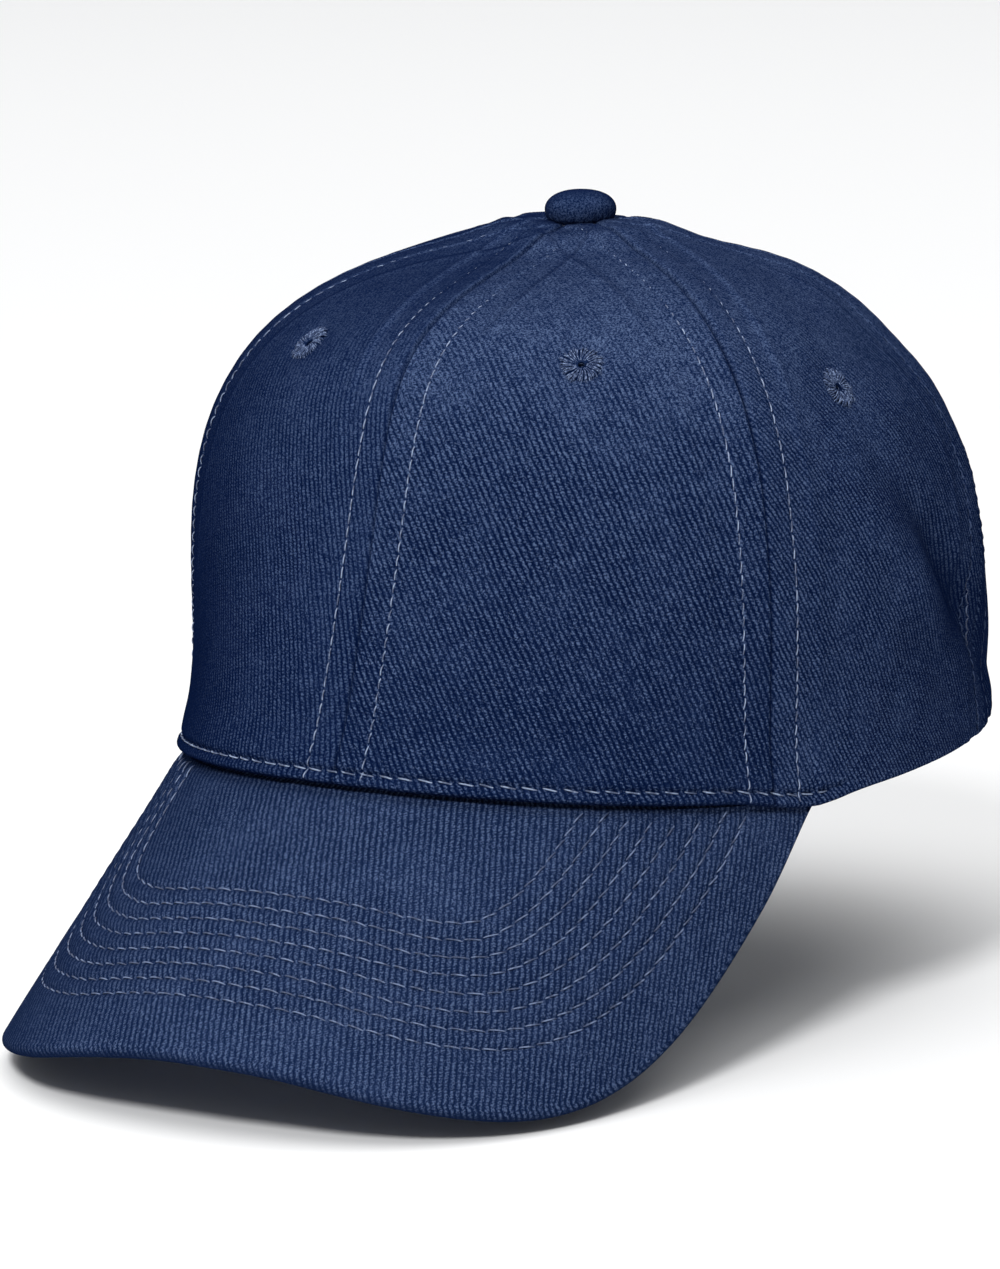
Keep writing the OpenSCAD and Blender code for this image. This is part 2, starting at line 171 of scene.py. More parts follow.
def curve_parameter(b, h):
    """The meridian's parameter at a height, read between the table's entries."""
    i = (wrap(b) + 180) / 360 * (len(TABLE_BEARINGS) - 1)
    j = np.clip(h / TABLE_HEIGHTS[-1], 0, 1) * (len(TABLE_HEIGHTS) - 1)
    i0 = np.minimum(i.astype(int), len(TABLE_BEARINGS) - 2)
    j0 = np.minimum(j.astype(int), len(TABLE_HEIGHTS) - 2)
    fi, fj = i - i0, j - j0
    low = PARAMETER_TABLE[i0, j0] * (1 - fj) + PARAMETER_TABLE[i0, j0 + 1] * fj
    high = PARAMETER_TABLE[i0 + 1, j0] * (1 - fj) + PARAMETER_TABLE[i0 + 1, j0 + 1] * fj
    return low * (1 - fi) + high * fi


def across_panel(b):
    """-1 at one seam of a panel and 1 at the next."""
    a = np.abs(wrap(b))
    front = 2 * a / FRONT_SEAM - 1
    side = 2 * (a - FRONT_SEAM) / (REAR_SEAM - FRONT_SEAM) - 1
    back = 2 * (a - REAR_SEAM) / (180 - REAR_SEAM) - 1
    return np.where(a < FRONT_SEAM, front, np.where(a < REAR_SEAM, side, back))


def smooth_point(b, t, flat=0.0):
    out, up, foot = meridian(b, t)
    f = out * (1 - flat) / foot
    x, y = rim_xy(b)
    return np.stack([x * f, APEX_Y + (y - APEX_Y) * f, up], axis=-1)


def outward(b, t, h):
    """Outward direction, level at the rim."""
    across = smooth_point(b + 1, t) - smooth_point(b - 1, t)
    n = np.cross(across, smooth_point(b, t + 0.01) - smooth_point(b, t - 0.01))
    n[..., 2] *= np.clip(h / RIM_SQUARE, 0, 1)
    return unit(n)


def crown(b, h, depth=0.0):
    """Points on the crown; depth may be a number or an array."""
    b, h, depth = np.broadcast_arrays(np.asarray(b, float), np.asarray(h, float), depth)
    t = curve_parameter(b, h)
    flat = PANEL_FLATTENING * by_bearing(b, FLATTENING_SHARE) * t * (1 - across_panel(b) ** 2)
    return smooth_point(b, t, flat) - depth[..., None] * outward(b, t, h)


def crown_normal(b, h):
    b, h = np.broadcast_arrays(np.asarray(b, float), np.asarray(h, float))
    return outward(b, curve_parameter(b, h), h)


def mm_per_degree(b, h):
    """How far one degree of bearing reaches across the cloth."""
    return np.linalg.norm(crown(b + 0.5, h) - crown(b - 0.5, h), axis=-1)


def arch_edge(b):
    """Height of the rear arch's edge, 0 outside the arch."""
    x = (180 - np.abs(wrap(b))) / ARCH_HALF_BEARING
    return ARCH_HEIGHT * np.sqrt(np.maximum(1 - x * x, 0))


def check_crown():
    """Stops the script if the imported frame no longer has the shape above."""
    for side, sign in SIDES.items():
        for part, b0, b1 in (("front", 0, FRONT_SEAM), ("side", FRONT_SEAM, REAR_SEAM)):
            low, high = node_box(f"{part}_panel_{side}")
            b = np.linspace(b0 + 0.1, b1 - 0.1, 40)[:, None] * sign
            p = crown(b, np.linspace(0, 1, 60)[None, :] * (crown_length(b) - 3.5))
            gap = max(np.abs(p.min((0, 1)) - low).max(), np.abs(p.max((0, 1)) - high).max())
            if gap > 1.5:
                raise SystemExit(f"{part}_panel_{side} is {gap:.1f} mm off the frame")


check_crown()

# ---- meshes ----


def make_object(name, points, faces, uv, material, body="cap", stands_for=(), slot=None):
    """A smooth-shaded piece from points in millimetres; faces is a list of index arrays."""
    mesh = bpy.data.meshes.new(name)
    mesh.from_pydata((points * MM).tolist(), [], [f for part in faces for f in part.tolist()])
    corners = np.zeros(len(mesh.loops), int)
    mesh.loops.foreach_get("vertex_index", corners)
    layer = mesh.uv_layers.new(name="cloth")
    layer.data.foreach_set("uv", uv[corners].astype(np.float32).ravel())
    mesh.shade_smooth()
    mesh.set_sharp_from_angle(angle=math.radians(60))
    mesh.materials.append(material)
    obj = bpy.data.objects.new(name, mesh)
    bpy.context.scene.collection.objects.link(obj)
    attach(obj, body)
    if stands_for:
        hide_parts(*stands_for)
    return obj


def quads(ids):
    """Faces between the neighbouring entries of a grid of point numbers."""
    return np.stack([ids[:-1, :-1], ids[1:, :-1], ids[1:, 1:], ids[:-1, 1:]], -1).reshape(-1, 4)


def facing_out(points, faces):
    """The same faces, turned if they enclose a negative volume."""
    a, b, c, d = (points[faces[:, i]] for i in range(4))
    volume = (a * np.cross(b, c)).sum() + (a * np.cross(c, d)).sum()
    return faces if volume > 0 else faces[:, ::-1]


def closed_sheet(name, outer, inner, uv, material, **about):
    """A closed piece between two grids of points, columns by rows."""
    nc, nr = outer.shape[:2]
    near = np.arange(nc * nr).reshape(nc, nr)
    far = near + nc * nr
    rims = [np.stack([near[0], far[0]]), np.stack([near[-1], far[-1]])[::-1],
            np.stack([near[:, 0], far[:, 0]])[::-1], np.stack([near[:, -1], far[:, -1]])]
    faces = np.concatenate([quads(near), quads(far)[:, ::-1]] + [quads(r) for r in rims])
    points = np.concatenate([outer.reshape(-1, 3), inner.reshape(-1, 3)])
    coords = np.concatenate([uv.reshape(-1, 2)] * 2)
    return make_object(name, points, [facing_out(points, faces)], coords, material, **about)


def store_shade(obj, shade):
    """Keeps a painted shade of 0 to 1 for both faces of a closed sheet; twill darkens the cloth by it.
    """
    attribute = obj.data.attributes.new("crease", "FLOAT", "POINT")
    attribute.data.foreach_set("value", np.tile(shade.ravel(), 2))


def grid_uv(points):
    """Cloth coordinates in millimetres: across from the middle column, and up the rows."""
    across = np.linalg.norm(np.diff(points, axis=0), axis=-1)
    across = np.concatenate([np.zeros((1, points.shape[1])), np.cumsum(across, axis=0)])
    up = np.linalg.norm(np.diff(points, axis=1), axis=-1)
    up = np.concatenate([np.zeros((points.shape[0], 1)), np.cumsum(up, axis=1)], axis=1)
    return np.stack([across - across[len(across) // 2], up], axis=-1)


def waves(points, wavelength, seed, count=7):
    """Smooth unevenness of about unit size at the points."""
    rng = np.random.default_rng(seed)
    total = np.zeros(points.shape[:-1])
    for _ in range(count):
        direction = unit(rng.normal(size=3))
        length = wavelength * rng.uniform(0.7, 1.5)
        total += np.sin(points @ direction * (2 * math.pi / length) + rng.uniform(0, 2 * math.pi))
    return total / math.sqrt(count)


# ---- thread ----

THREAD_RADIUS = 0.135
STITCH_RINGS = 8
THREAD_SIDES = 6


class Thread:
    """Gathers short lengths of thread into one mesh."""

    def __init__(self, seed):
        self.points, self.sides, self.ends, self.uv = [], [], [], []
        self.count = 0
        self.rng = np.random.default_rng(seed)

    def length(self, path, up, radius=THREAD_RADIUS, taper=0.6):
        """One piece of thread along a path, with the direction away from the cloth."""
        n = len(path)
        along = unit(np.gradient(path, axis=0))
        side = unit(np.cross(along, up))
        lift = np.cross(side, along)
        a = np.linspace(0, 2 * math.pi, THREAD_SIDES, endpoint=False)
        end = np.abs(np.linspace(-1, 1, n))
        r = radius * (1 - (1 - taper) * np.clip(end * n - n + 2, 0, 1))
        ring = np.cos(a)[None, :, None] * side[:, None] + np.sin(a)[None, :, None] * lift[:, None]
        ids = self.count + np.arange(n * THREAD_SIDES).reshape(n, THREAD_SIDES)
        closed = np.concatenate([ids, ids[:, :1]], axis=1)
        run = run_along(path)
        turn = np.broadcast_to(a / (2 * math.pi), (n, THREAD_SIDES))
        self.points.append((path[:, None] + r[:, None, None] * ring).reshape(-1, 3))
        self.uv.append(np.stack([np.broadcast_to(run[:, None], turn.shape), turn], -1).reshape(-1, 2))
        self.sides.append(quads(closed)[:, ::-1])
        self.ends.append(np.stack([ids[0], ids[-1][::-1]]))
        self.count += n * THREAD_SIDES

    def row(self, line, normals, pitch, lift=0.07, sink=0.36, cover=0.92, start=0.0,
            radius=THREAD_RADIUS, slant=0.12):
        """A row of stitches along a line of points lying on the cloth."""
        run = run_along(line)
        side = unit(np.cross(np.gradient(line, axis=0), normals))
        count = int((run[-1] - start) / pitch)
        for i in range(count):
            middle = start + (i + 0.5) * pitch + self.rng.normal() * 0.05
            half = 0.5 * pitch * cover * (1 + self.rng.normal() * 0.04)
            s = np.linspace(middle - half, middle + half, STITCH_RINGS)
            p = np.stack([np.interp(s, run, line[:, k]) for k in range(3)], axis=-1)
            n = unit(np.stack([np.interp(s, run, normals[:, k]) for k in range(3)], axis=-1))
            w = np.stack([np.interp(s, run, side[:, k]) for k in range(3)], axis=-1)
            hump = 1 - np.abs(np.linspace(-1, 1, STITCH_RINGS)) ** 3
            lean = np.linspace(-1, 1, STITCH_RINGS) * (slant + self.rng.normal() * 0.05)
            rise = (lift + self.rng.normal() * 0.02) * hump - sink * (1 - hump)
            self.length(p + n * rise[:, None] + w * lean[:, None], n, radius)

    def build(self, name, material, body="cap"):
        """Makes the gathered thread into a piece."""
        faces = [np.concatenate(self.sides), np.concatenate(self.ends)]
        points, uv = np.concatenate(self.points), np.concatenate(self.uv)
        return make_object(name, points, faces, uv, material, body, slot="navy_thread")


# ---- materials ----


def operation(name):
    """A method that passes its values through one math node."""
    def apply(self, *others):
        return self.graph.math(name, self, *others)
    return apply


class Wire:
    """A shader value that can be added, multiplied and so on."""

    def __init__(self, graph, socket):
        self.graph = graph
        self.socket = socket

    __add__ = operation("ADD")
    __sub__ = operation("SUBTRACT")
    __mul__ = operation("MULTIPLY")
    __truediv__ = operation("DIVIDE")
    power = operation("POWER")
    fraction = operation("FRACT")
    floor = operation("FLOOR")
    absolute = operation("ABSOLUTE")
    sine = operation("SINE")


class Graph:
    """A new material's shader nodes."""

    def __init__(self, name):
        self.material = bpy.data.materials.new(name)
        self.material.use_nodes = True
        self.tree = self.material.node_tree
        self.shader = self.tree.nodes["Principled BSDF"]

    def join(self, value, socket):
        if isinstance(value, Wire):
            self.tree.links.new(value.socket, socket)
        elif isinstance(value, tuple) and len(value) == 3 and socket.type == "RGBA":
            socket.default_value = (*value, 1)
        else:
            socket.default_value = value

    def node(self, kind, **settings):
        """A new shader node of a kind, with its settings."""
        node = self.tree.nodes.new("ShaderNode" + kind)
        for key, value in settings.items():
            setattr(node, key, value)
        return node

    def feed(self, node, **values):
        """Joins values to a node's inputs, named with underscores for spaces."""
        for key, value in values.items():
            self.join(value, node.inputs[key.replace("_", " ")])
        return Wire(self, node.outputs[0])

    def math(self, operation, *values):
        node = self.node("Math", operation=operation)
        for value, socket in zip(values, node.inputs):
            self.join(value, socket)
        return Wire(self, node.outputs[0])

    def attribute(self, name):
        """A number stored with the mesh; 0 where the mesh has none."""
        node = self.node("Attribute", attribute_name=name)
        return Wire(self, node.outputs["Fac"])

    def cloth_uv(self):
        """Across and up the cloth in millimetres."""
        node = self.node("UVMap", uv_map="cloth")
        split = self.node("SeparateXYZ")
        self.tree.links.new(node.outputs[0], split.inputs[0])
        return Wire(self, split.outputs[0]), Wire(self, split.outputs[1])

    def place(self):
        """Position in millimetres."""
        where = Wire(self, self.node("TexCoord").outputs["Object"])
        scale = self.node("VectorMath", operation="SCALE")
        self.join(where, scale.inputs[0])
        return self.feed(scale, Scale=1 / MM)

    def vector(self, x, y, z=0.0):
        return self.feed(self.node("CombineXYZ"), X=x, Y=y, Z=z)

    def noise(self, where, size, detail=2.0, roughness=0.55):
        """Noise between 0 and 1 with features of about the size given."""
        return self.feed(self.node("TexNoise"), Vector=where, Scale=1 / size, Detail=detail,
                         Roughness=roughness)

    def spread(self, value, low, high, to_low=0.0, to_high=1.0):
        """Maps low..high smoothly on to to_low..to_high."""
        node = self.node("MapRange", interpolation_type="SMOOTHSTEP")
        return self.feed(node, Value=value, From_Min=low, From_Max=high, To_Min=to_low,
                         To_Max=to_high)

    def facing(self):
        """0 where the surface faces the viewer, 1 where it is seen edge-on."""
        node = self.node("LayerWeight")
        self.join(0.5, node.inputs["Blend"])
        return Wire(self, node.outputs["Facing"])

    def mix(self, factor, a, b):
        node = self.node("Mix", data_type="RGBA")
        for value, socket in ((factor, node.inputs[0]), (a, node.inputs[6]), (b, node.inputs[7])):
            self.join(value, socket)
        return Wire(self, node.outputs[2])

    def bump(self, height, distance):
        """A normal from a height of 0 to 1, standing up by a distance in millimetres."""
        return self.feed(self.node("Bump"), Strength=1.0, Distance=distance * MM, Height=height)

    def finish(self, **values):
        """Sets the shader's inputs and gives the material back."""
        self.feed(self.shader, **values)
        return self.material


def twill(name, dark, mid, light, rib=1.25, slope=25.0, depth=0.24, strand=0.75, nap_and_light_heights=(54, 118),
          turned=0.78, rim_shade_scale=1.0):
    """Brushed cotton twill: slanting ribs of short uneven strands, fuzzed over in patches.

    The nap hides the ribs more and more between the pair of heights given and lightens the cloth
    there, partly as painted light on the upper crown; turned is how much painted shade darkens the
    cloth where it is seen edge-on, and the rim factor how bright it stays near the rim, a painted
    shade towards the bottom.
    """
    g = Graph(name)
    u, v = g.cloth_uv()
    place = g.place()
    sway = g.noise(place, 9.0) * 0.6 + g.noise(place, 1.2) * 0.62
    across = (u * float(cosd(slope)) + v * float(sind(slope))) / rib + sway
    along = (v * float(cosd(slope)) - u * float(sind(slope))) / strand
    phase = across.fraction()
    round_rib = g.math("SUBTRACT", 1.0, ((phase * 2 - 1).absolute()).power(1.6))
    step = (along + phase * 0.9 + across.floor() * 0.37 + g.noise(place, 0.7) * 1.8).fraction()
    round_strand = g.math("SUBTRACT", 1.0, ((step * 2 - 1).absolute()).power(1.8))
    grain = g.spread(g.noise(place, 0.44, detail=4.0, roughness=0.85), 0.34, 0.66)
    patch = g.spread(g.noise(place, 13.0, detail=4.0), 0.38, 0.68)
    # The nap: random hazy patches, and towards the top of the crown a painted light that also hides
    # the ribs.
    nap = g.math("MINIMUM", patch * 0.4 + g.spread(v, nap_and_light_heights[0], nap_and_light_heights[1]) * 0.95, 1.0)
    cloud = g.spread(g.noise(place, 2.6, detail=3.0), 0.3, 0.7)
    weave = round_rib * (round_strand * 0.62 + 0.38)
    # Painted highlight and shade of the weave: ribs and strands lighter on top and darker in the
    # grooves, over the random grain and cloud.
    lit = (weave * (nap * -0.87 + 1.05) + nap * 0.63) * (grain * 1.35 + 0.28) * (cloud * 0.20 + 0.90)
    # Painted shade: the cloth darker towards the rim.
    lit = lit * g.spread(v, -6, 72, rim_shade_scale, 1.0)
    speck = g.spread(g.noise(place, 0.50, detail=2.0, roughness=0.6), 0.62, 0.72)
    hairs = g.spread(g.noise(g.vector(u * 4.0, v * 0.8), 0.6, detail=2.0), 0.63, 0.76)
    base = g.mix(g.spread(lit, 0.02, 0.80), dark, mid)
    base = g.mix(g.spread(lit, 0.50, 1.10, 0.0, 0.9), base, light)
    base = g.mix(g.math("MAXIMUM", speck * 0.60, hairs * 0.25), base, light)
    # Painted shade: darker where the cloth is seen edge-on.
    base = g.mix(g.spread(g.facing(), 0.26, 0.92, 0.0, turned), base, dark)
    # Painted shade stored with the mesh: in the crown's fold and seams and under the visor's rolled
    # edge.
    base = g.mix(g.attribute("crease"), base, dark)
    height = weave * (nap * -0.9 + 1.0) + grain * 0.28 + hairs * 0.10
    return g.finish(Base_Color=base, Roughness=nap * 0.06 + 0.90, Specular_IOR_Level=0.0,
                    Normal=g.bump(height, depth))


def thread_material(name, dark, light, glint=0.52, shine=0.6, roughness=0.36, patch=2.2):
    """Twisted sewing thread with painted highlights: patches of the light colour as glints, fewer with
    a higher glint.
    """
    g = Graph(name)
    run, turn = g.cloth_uv()
    ply = ((run / 0.42 + turn * 2) * (2 * math.pi)).sine() * 0.5 + 0.5
    # Painted highlight: noise patches of the thread painted light as glints.
    tone = g.spread(g.noise(g.place(), patch, detail=2.0), glint - 0.09, glint + 0.09)
    colour = g.mix(ply * 0.3 + tone * 0.7, dark, light)
    return g.finish(Base_Color=colour, Roughness=roughness, Specular_IOR_Level=shine,
                    Normal=g.bump(ply, 0.06))


def plain_weave(name, dark, light, pitch, depth=0.1):
    """Over-and-under weave for tapes, buckram, the sweatband and the label."""
    g = Graph(name)
    u, v = g.cloth_uv()
    a = ((u / pitch) * math.pi).sine()
    b = ((v / pitch) * math.pi).sine()
    weave = a * b * 0.5 + 0.5
    place = g.place()
    tone = g.noise(place, 6.0, detail=3.0)
    colour = g.mix(weave * 0.65 + tone * 0.35, dark, light)
    height = weave + g.noise(place, 0.3) * 0.3
    return g.finish(Base_Color=colour, Roughness=0.85, Specular_IOR_Level=0.25,
                    Sheen_Weight=0.15, Sheen_Roughness=0.5, Normal=g.bump(height, depth))


def metal(name, colour, roughness):
    """Brushed metal, darker and rougher where hands have dulled it."""
    g = Graph(name)
    place = g.place()
    dull = g.spread(g.noise(place, 5.0, detail=4.0), 0.35, 0.7)
    brushed = g.noise(g.vector(g.noise(place, 40.0) * 3, g.noise(place, 0.25) * 6), 0.4)
    darker = tuple(0.86 * c for c in colour)
    return g.finish(Base_Color=g.mix(dull, colour, darker), Metallic=1.0,
                    Roughness=dull * 0.07 + roughness, Normal=g.bump(brushed, 0.01))


def board_plastic(name):
    """Matt moulded plastic."""
    g = Graph(name)
    grain = g.noise(g.place(), 0.5, detail=3.0)
    return g.finish(Base_Color=g.mix(grain, (0.62, 0.62, 0.58), (0.74, 0.74, 0.70)),
                    Roughness=0.55, Normal=g.bump(grain, 0.03))


CLOTH_DARK = (0.0014, 0.0060, 0.032)
CLOTH_MID = (0.0138, 0.0295, 0.091)
CLOTH_LIGHT = (0.100, 0.148, 0.275)
NAVY = twill("navy_twill", CLOTH_DARK, CLOTH_MID, CLOTH_LIGHT, rim_shade_scale=0.80)
NAVY_SOFT = twill("navy_twill_soft", CLOTH_DARK, (0.0128, 0.0270, 0.085), (0.068, 0.105, 0.205),
                  slope=24.0, depth=0.19, turned=0.88, rim_shade_scale=0.88)
NAVY_SLANTED = twill("navy_twill_slanted", CLOTH_DARK, (0.0165, 0.0345, 0.104), CLOTH_LIGHT,
                     rib=1.1, slope=30.0, turned=0.62)
# The visor's copy is lighter than the crown's: painted light on the visor's upward face.
NAVY_VISOR = twill("navy_twill_visor", (0.0052, 0.0126, 0.044), (0.0190, 0.0362, 0.099),
                   (0.090, 0.132, 0.245), slope=-22.0, depth=0.19, nap_and_light_heights=(500, 600), turned=0.70)
NAVY_SMALL = twill("navy_twill_small", CLOTH_DARK, CLOTH_MID, CLOTH_LIGHT,
                   rib=0.85, depth=0.10, strand=0.5, nap_and_light_heights=(500, 600))
NAVY_BUTTON = twill("navy_twill_button", CLOTH_DARK, (0.0080, 0.0180, 0.059), (0.044, 0.072, 0.155),
                    rib=1.0, depth=0.12, nap_and_light_heights=(-60, -40))
# One navy thread in several copies that differ in painted highlight: the lit copy for the front crown
# seams and the rim row carries more, the shaded copy for the rear seams less, and the visor's copy
# sits between.
THREAD = thread_material("navy_thread", (0.012, 0.025, 0.075), (0.25, 0.33, 0.54), glint=0.54)
THREAD_LIT = thread_material("navy_thread_lit", (0.025, 0.045, 0.120), (0.34, 0.43, 0.64),
                                glint=0.50)
THREAD_VISOR = thread_material("navy_thread_visor", (0.018, 0.035, 0.100), (0.195, 0.265, 0.455),
                               glint=0.52)
THREAD_SHADED = thread_material("navy_thread_shaded", (0.008, 0.018, 0.060), (0.060, 0.095, 0.200),
                             shine=0.1, roughness=0.7)
THREAD_DEEP = thread_material("navy_thread_embroidery", (0.010, 0.024, 0.080), (0.25, 0.33, 0.53),
                              glint=0.57, shine=0.03, roughness=0.6, patch=0.6)
THREAD_PADDING = thread_material("navy_thread_padding", (0.0020, 0.0065, 0.030), (0.010, 0.022, 0.068),
                                 shine=0.0, roughness=0.9)
TAPE = plain_weave("seam_tape", (0.010, 0.017, 0.045), (0.030, 0.045, 0.100), pitch=0.6)
BUCKRAM = plain_weave("buckram", (0.42, 0.42, 0.39), (0.78, 0.78, 0.74), pitch=1.1, depth=0.3)
BAND = plain_weave("sweatband_cloth", (0.012, 0.020, 0.052), (0.038, 0.056, 0.120), pitch=0.4)
CORE = plain_weave("band_core", (0.55, 0.55, 0.52), (0.70, 0.70, 0.66), pitch=0.9, depth=0.2)
LABEL = plain_weave("label", (0.66, 0.66, 0.63), (0.85, 0.85, 0.82), pitch=0.25, depth=0.04)
PLASTIC = board_plastic("visor_board")
BRASS = metal("brass", (0.62, 0.44, 0.18), 0.28)
STEEL = metal("steel", (0.52, 0.53, 0.55), 0.32)

# ---- crown cloth ----

ROW_OFFSET = 6.6
SEAM_PITCH = 2.9
BASE_ROW = 2.85
BASE_PITCH = 4.5
TIP = 1.2
SEAM_DEPTH = 0.48
ALLOWANCE = 0.26
BAND_STEP = 12.5
EYELETS = {"front": (37.2, 92), "side": (86, 85.5), "back": (146, 86)}
PIT_DEPTH = 1.8
PIT_WIDTH = 1.1
ARCH_ROWS = (2.2, 7.0)
RIM_MM_PER_DEGREE = 1.55
FAR_AWAY = 99.0
HEM_END = 74.0
HEM_SAG = 2.2
HEM_SAG_BEARING = 70.0


def arch_distance(b, h):
    """Distance over the cloth from the rear arch's edge."""
    foot = ARCH_HALF_BEARING * mm_per_degree(180.0, 20.0)
    x = (180 - np.abs(wrap(b))) / ARCH_HALF_BEARING
    y = h / ARCH_HEIGHT
    e = np.sqrt(x * x + y * y) + 1e-9
    slope = np.sqrt((x / (e * foot)) ** 2 + (y / (e * ARCH_HEIGHT)) ** 2)
    return (e - 1) / slope


def stitch_pull(run, pitch):
    """Deeper where the needle went through."""
    return 1 + 0.45 * np.cos(run * (2 * math.pi / pitch))


def seam_relief(d, h):
    """Lift of the cloth beside a seam, at a distance d from it."""
    allowance = ALLOWANCE * (1 - ease((d - ROW_OFFSET + 0.4) / 1.6))
    row = 0.20 * bump(d - ROW_OFFSET, 0.5) * stitch_pull(h, SEAM_PITCH)
    pucker = 0.05 * np.cos(h * (math.pi / SEAM_PITCH) + 1.0) * bump(d - 3.2, 2.4)
    step = 0.35 * ease((d - BAND_STEP + 1.2) / 2.4) + 0.12 * bump(d - BAND_STEP - 1.0, 1.2)
    high = ease((h - 60) / 50)
    crease = SEAM_DEPTH + 0.75 * high
    return allowance - row + pucker + step - crease * bump(d, 0.38 + 0.22 * high) - 0.12 * bump(d, 1.4)


def eyelet_bells(p, size, width):
    """A bell of this size and width at each eyelet, 0 elsewhere."""
    total = np.zeros(p.shape[:-1])
    for bearing, height in EYELETS.values():
        for sign in SIDES.values():
            distance = np.linalg.norm(p - crown(bearing * sign, height), axis=-1)
            total += size * bump(distance, width)
    return total


def eyelet_dip(p):
    """The cloth draws in round each eyelet."""
    return -eyelet_bells(p, 0.55, 6.5)


def soft_folds(p, b, h):
    """Slow unevenness: firm in front, looser at the sides and back."""
    loose = ease((np.abs(wrap(b)) - 55) / 35)
    high = ease(h / 30) * ease((crown_length(b) - h) / 40)
    even = waves(p, 60, seed=3) * (0.16 + 0.40 * loose) * high
    small = waves(p, 22, seed=8) * (0.06 + 0.10 * loose) * ease(h / 12)
    folds = sum(size * bump(wrap(b) - bearing - tilt * (h - height), width) * bump(h - height, reach)
                for size, bearing, height, tilt, width, reach in SIDE_FOLDS)
    return even + small + folds


# Soft folds: size, bearing, height, degrees of tilt for each millimetre up, width, reach.
SIDE_FOLDS = ((-4.0, 105, 38, -0.50, 4.2, 22), (1.6, 94.5, 38, -0.50, 5.0, 24),
              (-1.3, 106, 94, 0.0, 14, 15),
              (-0.9, -53, 38, 0.0, 13, 30),
              (0.7, 88, 30, -0.45, 6.0, 22), (-0.5, 76, 52, 0.05, 4.5, 40),
              (-1.4, -101, 45, 0.35, 6.5, 28), (0.7, -90, 40, 0.30, 6.0, 26),
              (-0.9, 133, 40, 0.20, 6.0, 26), (0.8, -128, 36, -0.15, 6.0, 26))


# Painted shade: the darkening in the fold on the wearer's left, a weak patch high on that side panel,
# and its strength along the front and the other seams.
FOLD_BEARING = 104.5
FOLD_HEIGHT = 38
FOLD_TILT = -0.42
FOLD_WIDTH = 4.5
FOLD_SHADE = 0.82
SIDE_TOP_SHADE_AT = (66, 117)
SIDE_TOP_SHADE = 0.15
SEAM_SHADES = (0.85, 0.40)


def crease_shade(b, h):
    """Painted shade, 0 to 1: in the fold and high on the side panel on the wearer's left, and along
    the seams.
    """
    off_line = wrap(b) - FOLD_BEARING - FOLD_TILT * (h - FOLD_HEIGHT)
    width = FOLD_WIDTH * (1 + ease((46 - h) / 20))
    fold = FOLD_SHADE * bump(off_line, width) * bump(h - 34, 14)
    # Painted shade: a weak patch high on the side panel.
    side_top_shade = SIDE_TOP_SHADE * bump(wrap(b) - SIDE_TOP_SHADE_AT[0], 15) * bump(h - SIDE_TOP_SHADE_AT[1], 22)
    shade = np.broadcast_to(np.maximum(fold, side_top_shade), h.shape)
    # Painted shade along the seam creases.
    for seam in panel_seams(b):
        strength = np.where(np.abs(seam) == FRONT_SEAM, *SEAM_SHADES)
        distance = np.abs(wrap(b) - seam) * mm_per_degree(b, h)
        shade = np.maximum(shade, strength * bump(distance, 0.34))
    return shade


SEAM_ORDER = np.array([-180, -REAR_SEAM, -FRONT_SEAM, 0, FRONT_SEAM, REAR_SEAM, 180])


def panel_seams(b):
    """The bearings of the seams on both sides of each point."""
    above = np.clip(np.searchsorted(SEAM_ORDER, wrap(b), side="right"), 1, len(SEAM_ORDER) - 1)
    return SEAM_ORDER[above - 1], SEAM_ORDER[above]


def hem_relief(b, h):
    """The turned edge of the rim, with a fuller roll and a stitch groove over the visor."""
    hem = 1 - ease((np.abs(wrap(b)) - HEM_END) / 4)
    roll = (0.25 + 0.45 * hem) * bump(h - 1.2, 1.1) - 1.5 * bump(h + 0.25, 0.6)
    pull = stitch_pull(wrap(b) * RIM_MM_PER_DEGREE, BASE_PITCH)
    return roll - 0.62 * hem * bump(h - BASE_ROW - 0.2, 0.6) * pull


def arch_relief(edge):
    """The bound edge of the rear arch and the grooves of its rows, by distance from the edge."""
    relief = 0.22 * (1 - ease((edge - ARCH_ROWS[1]) / 1.5)) - 0.6 * bump(edge, 0.5)
    for row in ARCH_ROWS:
        relief = relief - 0.22 * bump(edge - row, 0.5)
    return relief


def apex_relief(to_apex):
    """The cloth standing up round the button, by distance from the top."""
    return 1.9 * bump(to_apex - 16, 8) + 1.1 * bump(to_apex - 8, 4) - 0.5 * bump(to_apex, 4)


def crown_relief(b, h, p):
    """How far the cloth stands out from the plain crown."""
    g = mm_per_degree(b, h)
    relief = soft_folds(p, b, h) + eyelet_dip(p)
    for seam in panel_seams(b):
        relief = relief + seam_relief(np.abs(wrap(b) - seam) * g, h)
    near_arch = np.abs(wrap(b)) > 180 - ARCH_HALF_BEARING - 14
    edge = np.where(near_arch, np.maximum(arch_distance(b, h), 0), FAR_AWAY)
    rim_bulge = 1.2 * bump(h - 3.5, 6) * ease(edge / 12)
    return relief + rim_bulge + hem_relief(b, h) + arch_relief(edge) + apex_relief(crown_length(b) - h)


def hem_sag(b, h):
    """The rim is pushed down over the visor's ends; a vector to add to points on the crown."""
    down = HEM_SAG * bump(np.abs(wrap(b)) - HEM_SAG_BEARING, 8) * (1 - ease(h / 16))
    return down[..., None] * np.array([0, 0, -1.0])


